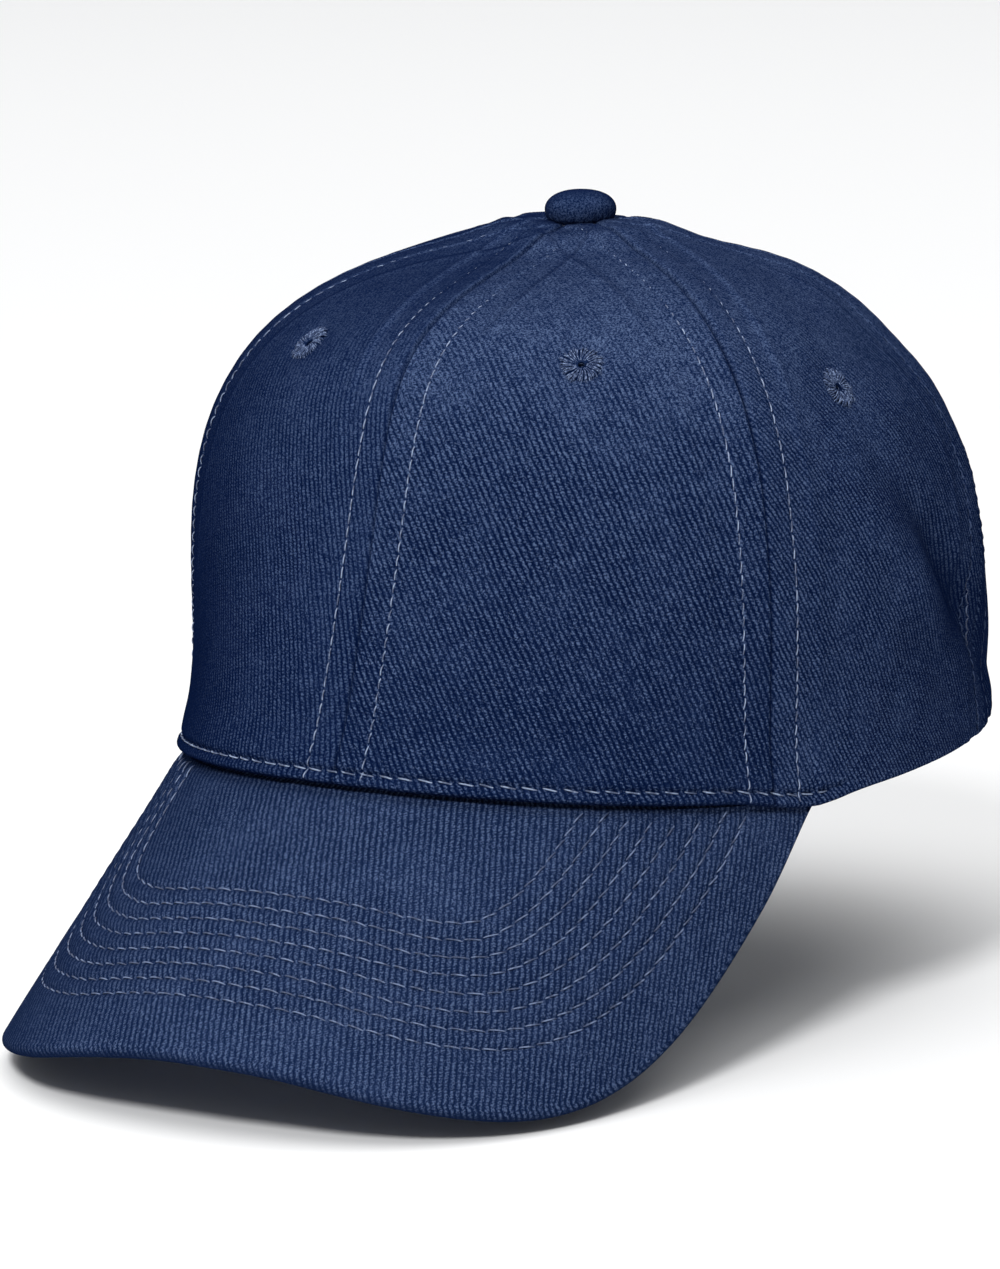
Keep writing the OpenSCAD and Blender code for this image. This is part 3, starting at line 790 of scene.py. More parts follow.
def panel_bearings(first, last):
    """Columns close together beside the seams and round the arch."""
    span = abs(last - first)
    size = float(mm_per_degree((first + last) / 2, 30.0))
    near = np.arange(0, 9.5, 0.36) / size
    columns = [near, span - near, np.arange(near[-1], span - near[-1], 0.85 / size)]
    if max(abs(first), abs(last)) > 179:
        foot = np.arange(-3, 3, 0.4) / size
        columns.append(span - ARCH_HALF_BEARING * cosd(np.linspace(0, 90, 110)))
        columns.append(span - ARCH_HALF_BEARING + foot)
    k = np.sort(np.concatenate(columns))
    k = k[(k >= 0) & (k <= span)]
    keep = np.concatenate([[True], np.diff(k) > 0.1 / size])
    return first + math.copysign(1, last - first) * k[keep]


ROW_SHARES = np.concatenate([np.linspace(0, 0.035, 24)[:-1], np.linspace(0.035, 1, 205)])


def panel_grid(first, last):
    """Bearings and heights of a panel's points."""
    b = panel_bearings(first + 0.01 * np.sign(last - first), last - 0.01 * np.sign(last - first))
    low = arch_edge(b)[:, None]
    high = crown_length(b)[:, None] - TIP
    h = low + (high - low) * ROW_SHARES[None, :]
    return np.broadcast_to(b[:, None], h.shape), h


def crown_panel(name, first, last, material):
    """One panel of the crown between two seams, as a closed cloth piece."""
    b, h = panel_grid(first, last)
    plain = crown(b, h)
    pits = eyelet_bells(plain, PIT_DEPTH, PIT_WIDTH)
    relief = crown_relief(b, h, plain) - pits
    outer = crown(b, h, -relief) + hem_sag(b, h)
    slow = soft_folds(plain, b, h) + eyelet_dip(plain)
    floor = np.minimum(relief - 0.12, slow * 0.9 - PANEL_THICKNESS + 0.05)
    inner = crown(b, h, -floor) + hem_sag(b, h)
    uv = grid_uv(plain)
    uv[..., 0] *= np.sign(last - first)
    uv[..., 1] = h
    made = closed_sheet(name + "_cloth", outer, inner, uv, material, stands_for=[name],
                        slot="navy_twill")
    # Painted shade in the fold, high on the side panel and along the seams.
    store_shade(made, crease_shade(b, h))


PANELS = {"front_panel": (0, FRONT_SEAM), "side_panel": (FRONT_SEAM, REAR_SEAM),
          "back_panel": (REAR_SEAM, 180)}


def cloth_line(b, h, sink=0.0):
    """Points along the finished cloth, and the directions out of it."""
    plain = crown(b, h)
    n = crown_normal(b, h)
    return plain + n * (crown_relief(b, h, plain) - sink)[..., None] + hem_sag(b, h), n


LAYER_DEPTH = {"front": 1.9, "rear": 1.4}
GROOVE_FILL = -0.14
HIGH_SINK = 0.29
TOP_SINK = 0.05


def seam_rows():
    """Twin rows of stitches beside every crown seam, outside and inside."""
    outside, rear, inside = Thread(11), Thread(13), Thread(12)
    for name, seam in SEAMS.items():
        thread = outside if abs(seam) <= FRONT_SEAM else rear
        start = ARCH_HEIGHT + 8 if name == "back_centre" else 0.8
        layer = LAYER_DEPTH["front" if abs(seam) <= FRONT_SEAM else "rear"]
        for sign in (-1, 1):
            h = np.linspace(start, float(crown_length(seam)) - 12.5, 400)
            b = wrap(seam + sign * ROW_OFFSET / mm_per_degree(seam, h))
            sink = GROOVE_FILL + HIGH_SINK * ease((h - 74) / 45) + TOP_SINK * ease((h - 105) / 20)
            line, n = cloth_line(b, h, sink)
            thread.row(line, n, SEAM_PITCH, start=0.7 * (sign > 0))
            inside.row(crown(b, h, layer), -n, SEAM_PITCH, lift=0.1)
    outside.build("crown_seam_stitching", THREAD_LIT)
    rear.build("crown_rear_seam_stitching", THREAD_SHADED)
    inside.build("crown_seam_stitching_inside", THREAD)


def base_row():
    """The row just above the visor; the photo shows none on the rim beside it."""
    thread = Thread(21)
    b = np.linspace(-HEM_END, HEM_END, 1400)
    line, n = cloth_line(b, np.full_like(b, BASE_ROW), 2 * GROOVE_FILL)
    thread.row(line, n, BASE_PITCH, cover=0.76, radius=0.16, slant=0.25)
    thread.build("rim_stitching", THREAD_LIT)


def arch_line(e, count=400):
    """Bearings and heights of a line at a distance outside the arch's edge."""
    foot = ARCH_HALF_BEARING * float(mm_per_degree(180.0, 20.0))
    a = np.linspace(2, 178, count)
    return wrap(180 - ARCH_HALF_BEARING * (1 + e / foot) * cosd(a)), (ARCH_HEIGHT + e) * sind(a)


def arch_rows():
    """The rows of stitches round the rear arch."""
    outside, inside = Thread(22), Thread(23)
    for e in ARCH_ROWS:
        b, h = arch_line(e)
        line, n = cloth_line(b, h, GROOVE_FILL)
        outside.row(line, n, SEAM_PITCH)
        inside.row(crown(b, h, LAYER_DEPTH["rear"]), -n, SEAM_PITCH, lift=0.1)
    outside.build("arch_stitching", THREAD)
    inside.build("arch_stitching_inside", THREAD)


GRAIN = {"front_panel_left": NAVY, "front_panel_right": NAVY_SOFT,
         "side_panel_left": NAVY_SLANTED, "side_panel_right": NAVY_SOFT,
         "back_panel_left": NAVY, "back_panel_right": NAVY_SLANTED}

for panel, (first, last) in PANELS.items():
    for side, sign in SIDES.items():
        name = f"{panel}_{side}"
        crown_panel(name, first * sign, last * sign, GRAIN[name])
seam_rows()
base_row()
arch_rows()

# ---- visor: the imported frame's shape, its front edge trimmed to the photo's outline ----

VISOR_HALF_WIDTH = 77.0
VISOR_REACH = 133.0
VISOR_EXTRA_WIDTH = 0.3
VISOR_SHORT = 0.6
VISOR_FLATTER = 0.9
CORNER_SHORT = 1.0
VISOR_CURVE = 80.5
VISOR_SLOPE = 0.7
VISOR_BACK = -28.5
SIDE_POWER = 2.4
FRONT_POWER = 4.2
RIM_CORNER = 72.8
VISOR_TUCK = 0.9
VISOR_END = 0.975
VISOR_DROP = 0.35
VISOR_CLOTH = 0.7
VISOR_THICKNESS = 3.4
VISOR_END_THICKNESS = 1.1
VISOR_ROWS = 8
VISOR_PITCH = 4.0
VISOR_SINK = 0.22
FAR_SIDE_SINK = 0.19
FIRST_INSET = 13.8
ROW_SPACING = 4.5
VISOR_LEAN = math.hypot(1, VISOR_SLOPE)


def visor_sag(x):
    return VISOR_CURVE - np.sqrt(VISOR_CURVE ** 2 - np.asarray(x, float) ** 2)


def visor_z(x, y):
    return BRIM_RISE - VISOR_SLOPE * (-y - CROWN_FRONT) - visor_sag(x)


def visor_edge(u):
    """The visor's outline for a share from -1 to 1, a little inside the frame's in front."""
    a, rest = np.abs(u) ** 1.2, (1 - np.abs(u)) ** 2.1
    angle = 90 * a / (a + rest)
    flatter = VISOR_FLATTER * ease((u - 0.02) / 0.18) * (1 - ease((u - 0.36) / 0.2))
    reach = VISOR_REACH - VISOR_SHORT - flatter - CORNER_SHORT * ease((-u - 0.27) / 0.15)
    tuck = VISOR_TUCK * ease((np.abs(u) - 0.84) / 0.16)
    half_width = VISOR_HALF_WIDTH + VISOR_EXTRA_WIDTH - tuck
    x = half_width * np.sign(u) * sind(angle) ** (2 / SIDE_POWER)
    return x, VISOR_BACK - reach * np.maximum(cosd(angle), 0) ** (2 / FRONT_POWER)


def visor_top(u, v):
    """Upper face, v from 0 at the rim to 1 at the edge."""
    root = crown(RIM_CORNER * u, 0.0, -0.3)
    ex, ey = visor_edge(u)
    x = root[..., 0] + (ex - root[..., 0]) * v
    y = root[..., 1] + (ey - root[..., 1]) * v
    step = root[..., 2] - visor_z(root[..., 0], root[..., 1])
    return np.stack([x, y, visor_z(x, y) + step * (1 - v) ** 2 - VISOR_DROP], axis=-1)


def visor_length(u):
    """Length of the face along a column, from the rim to the edge."""
    return np.linalg.norm(visor_top(u, 1.0) - visor_top(u, 0.0), axis=-1)


def visor_waves(points):
    """Slow unevenness of the face."""
    return waves(points, 45, seed=31) * 0.16


def visor_normal(x):
    k = x / np.sqrt(VISOR_CURVE ** 2 - x * x)
    return unit(np.stack([k, np.full_like(k, -VISOR_SLOPE), np.ones_like(k)], axis=-1))


ACROSS = np.linspace(-VISOR_HALF_WIDTH - 2, VISOR_HALF_WIDTH + 2, 801)
STRETCH = np.sqrt(1 + ACROSS ** 2 / (VISOR_CURVE ** 2 - ACROSS ** 2) / VISOR_LEAN ** 2)
UNROLLED = np.cumsum(STRETCH) * (ACROSS[1] - ACROSS[0])
UNROLLED -= np.interp(0, ACROSS, UNROLLED)


def unroll(x, y):
    """The visor's face laid flat: across, and forward down the slope."""
    forward = (-y - VISOR_SLOPE * visor_z(x, y)) / VISOR_LEAN
    return np.stack([np.interp(x, ACROSS, UNROLLED), forward], axis=-1)


def roll_up(flat):
    """The inverse of unroll."""
    x = np.interp(flat[..., 0], UNROLLED, ACROSS)
    level = BRIM_RISE + VISOR_SLOPE * CROWN_FRONT - visor_sag(x)
    y = -(flat[..., 1] * VISOR_LEAN + VISOR_SLOPE * level) / VISOR_LEAN ** 2
    return x, y


EDGE_FLAT = unroll(*visor_edge(np.linspace(-1, 1, 481)))
RAY_CENTRE = unroll(np.array(0.0), np.array(-70.0))


def edge_distance(flat):
    """Distance from the visor's edge, on the flat."""
    a, b = EDGE_FLAT[:-1], EDGE_FLAT[1:]
    ab = b - a
    size = (ab ** 2).sum(-1) + 1e-12
    result = np.empty(len(flat))
    for i in range(0, len(flat), 4000):
        p = flat[i:i + 4000, None] - a[None]
        t = np.clip((p * ab).sum(-1) / size, 0, 1)
        result[i:i + 4000] = np.sqrt(((p - t[..., None] * ab) ** 2).sum(-1)).min(1)
    return result


def ray_angle(flat):
    d = flat - RAY_CENTRE
    return np.arctan2(d[..., 0], d[..., 1])


def row_inset(k, angle):
    """How far inside the edge stitch row k runs; the rows close up a little in front."""
    ahead = np.cos(angle) ** 2
    return FIRST_INSET + 2.2 * ahead + k * (ROW_SPACING - 0.32 * ahead)


def visor_rows():
    """Each stitch row as (angles, flat points, lengths run), found along rays."""
    angles = np.linspace(-2.0, 2.0, 641)
    reach = np.linspace(2, 130, 200)
    directions = np.stack([np.sin(angles), np.cos(angles)], axis=-1)
    flat = RAY_CENTRE + reach[None, :, None] * directions[:, None]
    d = edge_distance(flat.reshape(-1, 2)).reshape(len(angles), len(reach))
    beyond = np.argmin(d, axis=1)
    rows = []
    for k in range(VISOR_ROWS):
        want = row_inset(k, angles)
        out = np.array([np.interp(want[i], d[i, :beyond[i] + 1][::-1], reach[:beyond[i] + 1][::-1])
                        for i in range(len(angles))])
        p = RAY_CENTRE + out[:, None] * directions
        rows.append((angles, p, run_along(p)))
    return rows


VISOR_STITCH_ROWS = visor_rows()


def visor_relief(x, y):
    """Grooves under the stitch rows and the soft ridges between them."""
    flat = unroll(x, y)
    d = edge_distance(flat.reshape(-1, 2)).reshape(x.shape)
    angle = ray_angle(flat)
    first = row_inset(0, angle)
    spacing = row_inset(1, angle) - first
    k = np.clip(np.round((d - first) / spacing), 0, VISOR_ROWS - 1).astype(int)
    off = d - first - k * spacing
    run = np.zeros_like(d)
    for i, (angles, _, length) in enumerate(VISOR_STITCH_ROWS):
        run = np.where(k == i, np.interp(angle, angles, length), run)
    groove = 0.40 * bump(off, 0.52) * stitch_pull(run, VISOR_PITCH)
    inside = ease((d - first + 3) / 3) * (1 - ease((d - row_inset(VISOR_ROWS - 1, angle)) / 3))
    puff = 0.10 * np.cos((d - first) / spacing * 2 * math.pi + math.pi) * inside
    ripple = 0.05 * np.cos(run * (2 * math.pi / VISOR_PITCH) + k) * inside * (1 - bump(off, 0.9))
    return puff - groove + ripple


TAB_DEPTH = 2.1
TAB_HEIGHTS = np.array([[9.0, 6.0, 3.0, 0.0]])
EDGE_TURN = np.linspace(0, 180, 15)
VISOR_COLUMNS = 300
# Painted shade under the visor's rolled edge.
EDGE_SHADE = 0.75
VISOR_FACE_ROWS = 150


def visor_columns(end):
    """Shares across the visor, evenly spaced along its edge."""
    u = np.linspace(-end, end, 4001)
    x, y = visor_edge(u)
    run = run_along(unroll(x, y))
    return np.interp(np.linspace(0, run[-1], VISOR_COLUMNS), run, u)


def visor_thickness(u):
    """Full thickness over the board, thinning to the cloth alone at both ends."""
    return VISOR_THICKNESS + (VISOR_END_THICKNESS - VISOR_THICKNESS) * ease((np.abs(u) - 0.84) / 0.11)


def edge_outward(u):
    """Direction out of the visor's edge, square to its outline and lying in its face."""
    x, y = visor_edge(np.clip(u + 1e-3, -1, 1))
    x0, y0 = visor_edge(np.clip(u - 1e-3, -1, 1))
    top = np.stack([x, y, visor_z(x, y)], -1) - np.stack([x0, y0, visor_z(x0, y0)], -1)
    return unit(np.cross(unit(top), visor_normal(visor_edge(u)[0])))


def edge_roll(u, roll, length):
    """Outer and inner points of the cloth as it turns round the visor's edge."""
    corner = visor_top(u, 1 - roll / length)
    normal = visor_normal(corner[..., 0])
    out = edge_outward(u)
    centre = corner - normal * roll[..., None]
    outer, inner = [], []
    for a in EDGE_TURN:
        arm = normal * float(cosd(a)) + out * float(sind(a))
        outer.append(centre + arm * roll[..., None])
        inner.append(centre + arm * np.maximum(roll - VISOR_CLOTH, 0.15)[..., None])
    return np.concatenate(outer, axis=1), np.concatenate(inner, axis=1)


def visor_tab(u):
    """Outer and inner points of the cloth that runs up inside the rim."""
    drop = np.array([0, 0, VISOR_DROP])
    at_foot = (TAB_HEIGHTS < 1)[..., None]
    outer = crown(RIM_CORNER * u, TAB_HEIGHTS, TAB_DEPTH) - drop
    inner = crown(RIM_CORNER * u, TAB_HEIGHTS, TAB_DEPTH + 0.5) - drop - at_foot * drop * 2
    return outer, inner


def visor_cloth(name, material):
    """The upper cloth, from inside the rim, over the face and rolled round the edge."""
    u = visor_columns(VISOR_END)[:, None]
    v = np.linspace(0, 1, VISOR_FACE_ROWS + 1)[None, :-1]
    length = visor_length(u)
    roll = visor_thickness(u) / 2
    v = v * (1 - roll / length)
    face = visor_top(u, v)
    normal = visor_normal(face[..., 0])
    relief = visor_relief(face[..., 0], face[..., 1]) + visor_waves(face) * ease(v * 6)
    relief = relief - 0.9 * bump(v * length, 2.6)
    around, within = edge_roll(u, roll, length)
    tab_out, tab_in = visor_tab(u)
    outer = np.concatenate([tab_out, face + normal * relief[..., None], around], axis=1)[:, ::-1]
    inner = np.concatenate([tab_in, face - normal * VISOR_CLOTH, within], axis=1)[:, ::-1]
    flat = unroll(face[..., 0], face[..., 1])
    lead = np.repeat(flat[:, :1], TAB_HEIGHTS.size, axis=1)
    tail = np.repeat(flat[:, -1:], len(EDGE_TURN), axis=1)
    tail = tail + np.stack([0 * roll + 0 * EDGE_TURN, roll * np.radians(EDGE_TURN)], -1)
    uv = np.concatenate([lead, flat, tail], axis=1)[:, ::-1]
    made = closed_sheet(name, outer, inner, uv, material,
                        stands_for=["visor_top_fabric"], slot="navy_twill")
    # Painted shade on the lower half of the cloth rolled round the edge.
    shade = np.zeros(outer.shape[:2])
    shade[:, :len(EDGE_TURN)] = EDGE_SHADE * ease((EDGE_TURN[::-1] - 30) / 55)
    store_shade(made, shade)


def visor_board():
    """The plastic board between the two cloths."""
    u = visor_columns(0.83)[::4][:, None]
    length = visor_length(u)
    v = np.linspace(0, 1, 40)[None] * (1 - (1.3 + 1.8) / length) + 1.8 / length
    face = visor_top(u, v)
    normal = visor_normal(face[..., 0])
    outer, inner = face - normal * 0.95, face - normal * 2.5
    closed_sheet("visor_board_plastic", outer, inner, face[..., :2], PLASTIC,
                 stands_for=["visor_board"], slot="visor_board")


def visor_lining(name, material):
    """The cloth under the visor."""
    u = visor_columns(VISOR_END - 0.005)[:, None]
    length = visor_length(u)
    thick = visor_thickness(u)
    v = np.linspace(0, 1, VISOR_FACE_ROWS)[None] * (1 - (thick / 2 + 0.7) / length) + 0.6 / length
    face = visor_top(u, v)
    normal = visor_normal(face[..., 0])
    relief = visor_relief(face[..., 0], face[..., 1])
    outer = face - normal * (thick + relief)[..., None]
    inner = face - normal * (thick - VISOR_CLOTH)[..., None]
    uv = unroll(face[..., 0], face[..., 1])
    closed_sheet(name, outer, inner, uv, material,
                 stands_for=["visor_bottom_fabric"], slot="navy_twill")


def visor_stitching():
    """The concentric rows, on the upper face and on the lining."""
    upper, lower = Thread(41), Thread(42)
    for k, (_, flat, _) in enumerate(VISOR_STITCH_ROWS):
        x, y = roll_up(flat)
        ahead = (x / CROWN_HALF_WIDTH) ** 2 + (y / CROWN_FRONT) ** 2 > 1.012
        ok = ahead & (np.abs(x) < VISOR_HALF_WIDTH - 4) & (y < -20)
        x, y = x[ok], y[ok]
        n = visor_normal(x)
        line = np.stack([x, y, visor_z(x, y) - VISOR_DROP + rim_step(x, y)], axis=-1)
        buried = VISOR_SINK + FAR_SIDE_SINK * ease((-x - 32) / 34)
        upper.row(line + n * (visor_waves(line) - buried)[:, None], n, VISOR_PITCH,
                  start=0.5 * (k % 3), radius=0.148, slant=0.22)
        lower.row(line - n * (VISOR_THICKNESS - 0.16), -n, VISOR_PITCH, start=0.5 * (k % 3))
    upper.build("visor_stitching", THREAD_VISOR)
    lower.build("visor_stitching_under", THREAD)


def rim_step(x, y):
    """Rise of the visor's face where it comes up to the rim, by the nearest column."""
    u = np.linspace(-VISOR_END, VISOR_END, 241)
    v = np.linspace(0, 1, 121)
    p = visor_top(u[:, None], v[None])
    step = p[..., 2] - visor_z(p[..., 0], p[..., 1]) + VISOR_DROP
    flat = p[..., :2].reshape(-1, 2)
    near = [np.argmin(((flat - q) ** 2).sum(-1)) for q in np.stack([x, y], -1)]
    return step.reshape(-1)[near]


visor_cloth("visor_top_fabric_cloth", NAVY_VISOR)
visor_lining("visor_bottom_fabric_cloth", NAVY_VISOR)
visor_board()
visor_stitching()

# ---- eyelets and button ----


def lathe_points(profile, columns):
    """A profile of (radius, height) points turned about the vertical axis."""
    a = np.linspace(0, 360, columns, endpoint=False)[:, None]
    r, z = profile[None, :, 0], profile[None, :, 1]
    return np.stack([r * cosd(a), r * sind(a), z + 0 * a], axis=-1)


def closed_ring(name, points, uv, material, **about):
    """A closed piece from a grid whose columns join up and whose rows join up."""
    nc, nr = points.shape[:2]
    ids = np.arange(nc * nr).reshape(nc, nr)
    ids = np.concatenate([ids, ids[:1]])
    ids = np.concatenate([ids, ids[:, :1]], axis=1)
    flat = points.reshape(-1, 3)
    faces = [facing_out(flat, quads(ids))]
    return make_object(name, flat, faces, uv.reshape(-1, 2), material, **about)


def crown_frame(b, h):
    """A point on the finished cloth and three directions: across, up the cloth and out."""
    across = unit(crown(b + 2, h) - crown(b - 2, h))
    up = crown(b, h + 3) - crown(b, h - 3)
    out = unit(np.cross(across, up))
    p = crown(b, h)
    centre = p + out * float(crown_relief(np.array(b), np.array(h), p))
    return centre, across, np.cross(out, across), out


EYELET_RADIUS = 4.55
EYELET_BORE = 0.75
EYELET_THREADS = 52
EYELET_TURN = 9
BUTTON_BELLY = 3.2
BUTTON_FULLER = 0.7
BUTTON_PIN = 0.03
SHELL_GAPS = (0.75, 1.15)


def eyelet(part, side, through):
    """An embroidered eyelet: a padded ring covered both sides by radial stitches."""
    b, h = EYELETS[part]
    centre, across, up, out = crown_frame(b * SIDES[side], h)
    turn = np.stack([across, up, out])
    profile = np.array([(EYELET_BORE, 0.25), (1.6, 0.52), (3.2, 0.5), (4.2, 0.2), (4.3, -0.1),
                        (1.9, -0.2), (1.9, -through), (4.0, -through - 0.1),
                        (3.9, -through - 0.3), (EYELET_BORE, -through - 0.4)])
    ring = lathe_points(profile, 48)
    closed_ring(f"eyelet_{part}_{side}_ring", centre + ring @ turn, ring[..., :2], THREAD_PADDING,
                stands_for=[f"eyelet_{part}_{side}"], slot="navy_thread")
    thread = Thread(50 + 10 * list(EYELETS).index(part) + SIDES[side])
    s = np.linspace(0, 1, 9)
    for i in range(EYELET_THREADS):
        wobble, reach, tall = thread.rng.normal(size=3)
        a = (i + 0.25 * wobble) * 360 / EYELET_THREADS + EYELET_TURN * s
        end = EYELET_BORE if i % 2 == 0 else 2.3
        start = EYELET_RADIUS + 0.28 * reach
        r = start + (end - start) * s
        z = 0.62 * np.sin(math.pi * s ** 0.75) ** 0.6 - 0.35 * (s > 0.99) + 0.05 * tall
        for face in (1, -1):
            top = z if face > 0 else -through - 0.1 - z * 0.7
            local = np.stack([r * cosd(a), r * sind(a), top], axis=-1)
            normal = np.broadcast_to(out * face, local.shape)
            thread.length(centre + local @ turn, normal, radius=0.15, taper=0.7)
    thread.build(f"eyelet_{part}_{side}_thread", THREAD_DEEP)


def button_profile(radius, height):
    """The cover's outer face as (radius, height), from the top down and in underneath."""
    up = np.linspace(90, 0, 40)
    down = np.linspace(0, 62, 14)[1:]
    rise = height + BUTTON_FULLER - BUTTON_BELLY
    over = np.stack([radius * cosd(up) ** 0.86, BUTTON_BELLY + rise * sind(up)], -1)
    under = np.stack([radius - 2.6 * (1 - cosd(down)), BUTTON_BELLY - 3.0 * sind(down)], -1)
    profile = np.concatenate([over, under])
    profile[0, 0] = BUTTON_PIN
    return profile


def button_cloth(centre, outer, radius):
    """The cloth cover, with small gathers near its base."""
    inner = np.stack([np.maximum(outer[::-1, 0] - 0.65, BUTTON_PIN),
                      np.maximum(outer[::-1, 1] - 0.65, -0.6)], -1)
    points = lathe_points(np.concatenate([outer, inner]), 220)
    a = np.arctan2(points[..., 1], points[..., 0])
    low_down = bump(points[..., 2] - 0.9, 1.7)
    gathers = 0.11 * np.sin(23 * a + 1.3 * np.sin(3 * a)) * low_down
    soft = waves(points, 9, seed=61) * 0.10
    points[..., :2] *= (1 + (gathers + soft) / radius)[..., None]
    run = run_along(outer)
    run = np.concatenate([run, run[::-1]])[None, :, None]
    uv = run * np.stack([np.cos(a), np.sin(a)], axis=-1)
    closed_ring("button_cloth", centre + points, uv, NAVY_BUTTON,
                stands_for=["button_cover"], slot="navy_twill")


def button_shell(centre, outer):
    """The metal shell under the cover."""
    faces = [np.stack([np.maximum(outer[:, 0] - gap, BUTTON_PIN), outer[:, 1] - gap], -1)
             for gap in SHELL_GAPS]
    faces = [face[face[:, 1] > 1.0] for face in faces]
    points = lathe_points(np.concatenate([faces[0], faces[1][::-1]]), 96)
    closed_ring("button_shell_metal", centre + points, points[..., :2], STEEL,
                stands_for=["button_shell"], slot="steel")


def button():
    """The covered button where the seams meet."""
    low, high = node_box("button_cover")
    centre = np.array([(low[0] + high[0]) / 2, (low[1] + high[1]) / 2, low[2]])
    radius = (high[0] - low[0]) / 2
    outer = button_profile(radius, high[2] - low[2])
    button_cloth(centre, outer, radius)
    button_shell(centre, outer)


for part in EYELETS:
    for side in SIDES:
        eyelet(part, side, 1.35 if part == "front" else 0.8)
button()

# ---- inside the crown ----


def slow_relief(b, h):
    p = crown(b, h)
    return soft_folds(p, b, h) + eyelet_dip(p)


def layer_sheet(name, b, h, depth, thickness, material, **about):
    """A thin layer that follows the inside of the crown."""
    sag = slow_relief(b, h) * 0.9
    outer = crown(b, h, depth - sag)
    inner = crown(b, h, depth + thickness - sag)
    return closed_sheet(name, outer, inner, grid_uv(inner), material, **about)


def buckram(side):
    """The stiff open-weave backing behind a front panel."""
    b = np.linspace(4.4, FRONT_SEAM - 4.4, 90)[:, None] * SIDES[side]
    top = crown_length(b)
    h = top * 0.05 + (top * 0.9 - top * 0.05) * np.linspace(0, 1, 120)[None]
    layer_sheet(f"front_buckram_{side}_mesh", b + 0 * h, h, 0.95, 0.4, BUCKRAM,
                stands_for=[f"front_buckram_{side}"], slot="buckram")


def seam_tape(name, seam):
    """The tape sewn over the inside of a crown seam."""
    layer = 1.6 if abs(seam) <= FRONT_SEAM else 1.1
    start = ARCH_HEIGHT + 10 if name == "back_centre" else 1.0
    h = np.linspace(start, float(crown_length(seam)) - 16, 160)[None]
    x = np.linspace(-7.2, 7.2, 19)[:, None]
    b = seam + x / mm_per_degree(float(seam), h)
    edge = 0.12 * bump(np.abs(x) - 7.2, 0.7)
    ridge = 0.18 * bump(x, 1.6)
    layer_sheet(f"seam_tape_{name}_cloth", b, h + 0 * x, layer - edge + ridge, 0.25, TAPE,
                stands_for=[f"seam_tape_{name}"], slot="seam_tape")


def arch_binding():
    """The tape round the inside of the rear arch."""
    columns = [arch_line(e, 200) for e in np.linspace(0.8, 8.8, 9)]
    b = np.stack([wrap(c[0] - 180) + 180 for c in columns], axis=1)
    h = np.stack([c[1] for c in columns], axis=1)
    layer_sheet("arch_binding_cloth", b, h, 1.1, 0.25, TAPE,
                stands_for=["arch_binding"], slot="seam_tape")


SWEATBAND_END = 146.5
SWEATBAND_HEIGHT = 32.0
SWEATBAND_SKIN = 0.5
SWEATBAND_FOLD = 1.8
SWEATBAND_BEND = (SWEATBAND_FOLD - 0.02) / 2
BAND_ROWS = (2.8, 28.2)
CORE_FOOT = 8.5
LABEL_ENDS = (-138, -124)
LABEL_ROW = 5.2


def sweatband_depth(b, h=SWEATBAND_HEIGHT):
    """Depth of the band's back; its foot is sewn down on the rim, over the visor's tab in front."""
    full = 2.9 + 2.5 * ease((np.abs(b) - 116) / 22)
    sewn = 3.0 - 1.3 * ease((np.abs(b) - RIM_CORNER) / 6)
    return full - (full + SWEATBAND_FOLD - sewn) * bump(h - 0.8, 3.4)


def band_sag(b, h):
    """How far the band follows the crown's slow folds inwards or outwards."""
    return slow_relief(b, h) * 0.95


def band_profile(inset):
    """Heights and depths over the folded band, this far inside its outer skin."""
    turn = np.linspace(0, 180, 13)[1:-1]
    bend = SWEATBAND_HEIGHT - SWEATBAND_BEND
    face, back = np.linspace(0.5, bend, 60), np.linspace(bend, 16, 24)
    radius = SWEATBAND_BEND - inset
    height = np.concatenate([face, bend + radius * sind(turn), back])
    depth = np.concatenate([face * 0 + SWEATBAND_FOLD - inset,
                            SWEATBAND_BEND + radius * cosd(turn), back * 0 + inset])
    return height[None], depth[None]


def sweatband():
    """The folded band, its lower edge sewn to the rim."""
    b = np.linspace(-SWEATBAND_END, SWEATBAND_END, 520)[:, None]
    height, depth = band_profile(0)
    height_in, depth_in = band_profile(SWEATBAND_SKIN)
    h, h_in = height + 0 * b, height_in + 0 * b
    run = b * RIM_MM_PER_DEGREE
    low_row, high_row = (bump(h - row, width) * deep
                         for row, width, deep in zip(BAND_ROWS, (0.7, 0.6), (0.25, 0.28)))
    rows = high_row * stitch_pull(run, SEAM_PITCH) + low_row
    pleats = 0.16 * np.sin(run * 0.9 + 2 * np.sin(run * 0.13)) * bump(h - 4, 6)
    dent = (rows + pleats * 0.8 - 0.25 * bump(h - 16, 9)) * (depth > SWEATBAND_BEND)
    sag = band_sag(b, h)
    outer = crown(b, h, sweatband_depth(b, h) + depth - dent - sag)
    inner = crown(b, h_in, sweatband_depth(b, h_in) + depth_in - dent * 0.6 - sag)
    closed_sheet("sweatband_cloth", outer, inner, grid_uv(outer), BAND,
                 stands_for=["sweatband"], slot="sweatband_cloth")


def sweatband_core():
    """The soft strip inside the band's fold."""
    b = np.linspace(-SWEATBAND_END, SWEATBAND_END, 520)[:, None]
    h = np.linspace(CORE_FOOT, SWEATBAND_HEIGHT - 1.0, 30)[None] + 0 * b
    outer, inner = (crown(b, h, sweatband_depth(b) + d - band_sag(b, h)) for d in (0.7, 1.1))
    closed_sheet("sweatband_core_foam", outer, inner, grid_uv(outer), CORE,
                 stands_for=["sweatband_core"], slot="band_core")


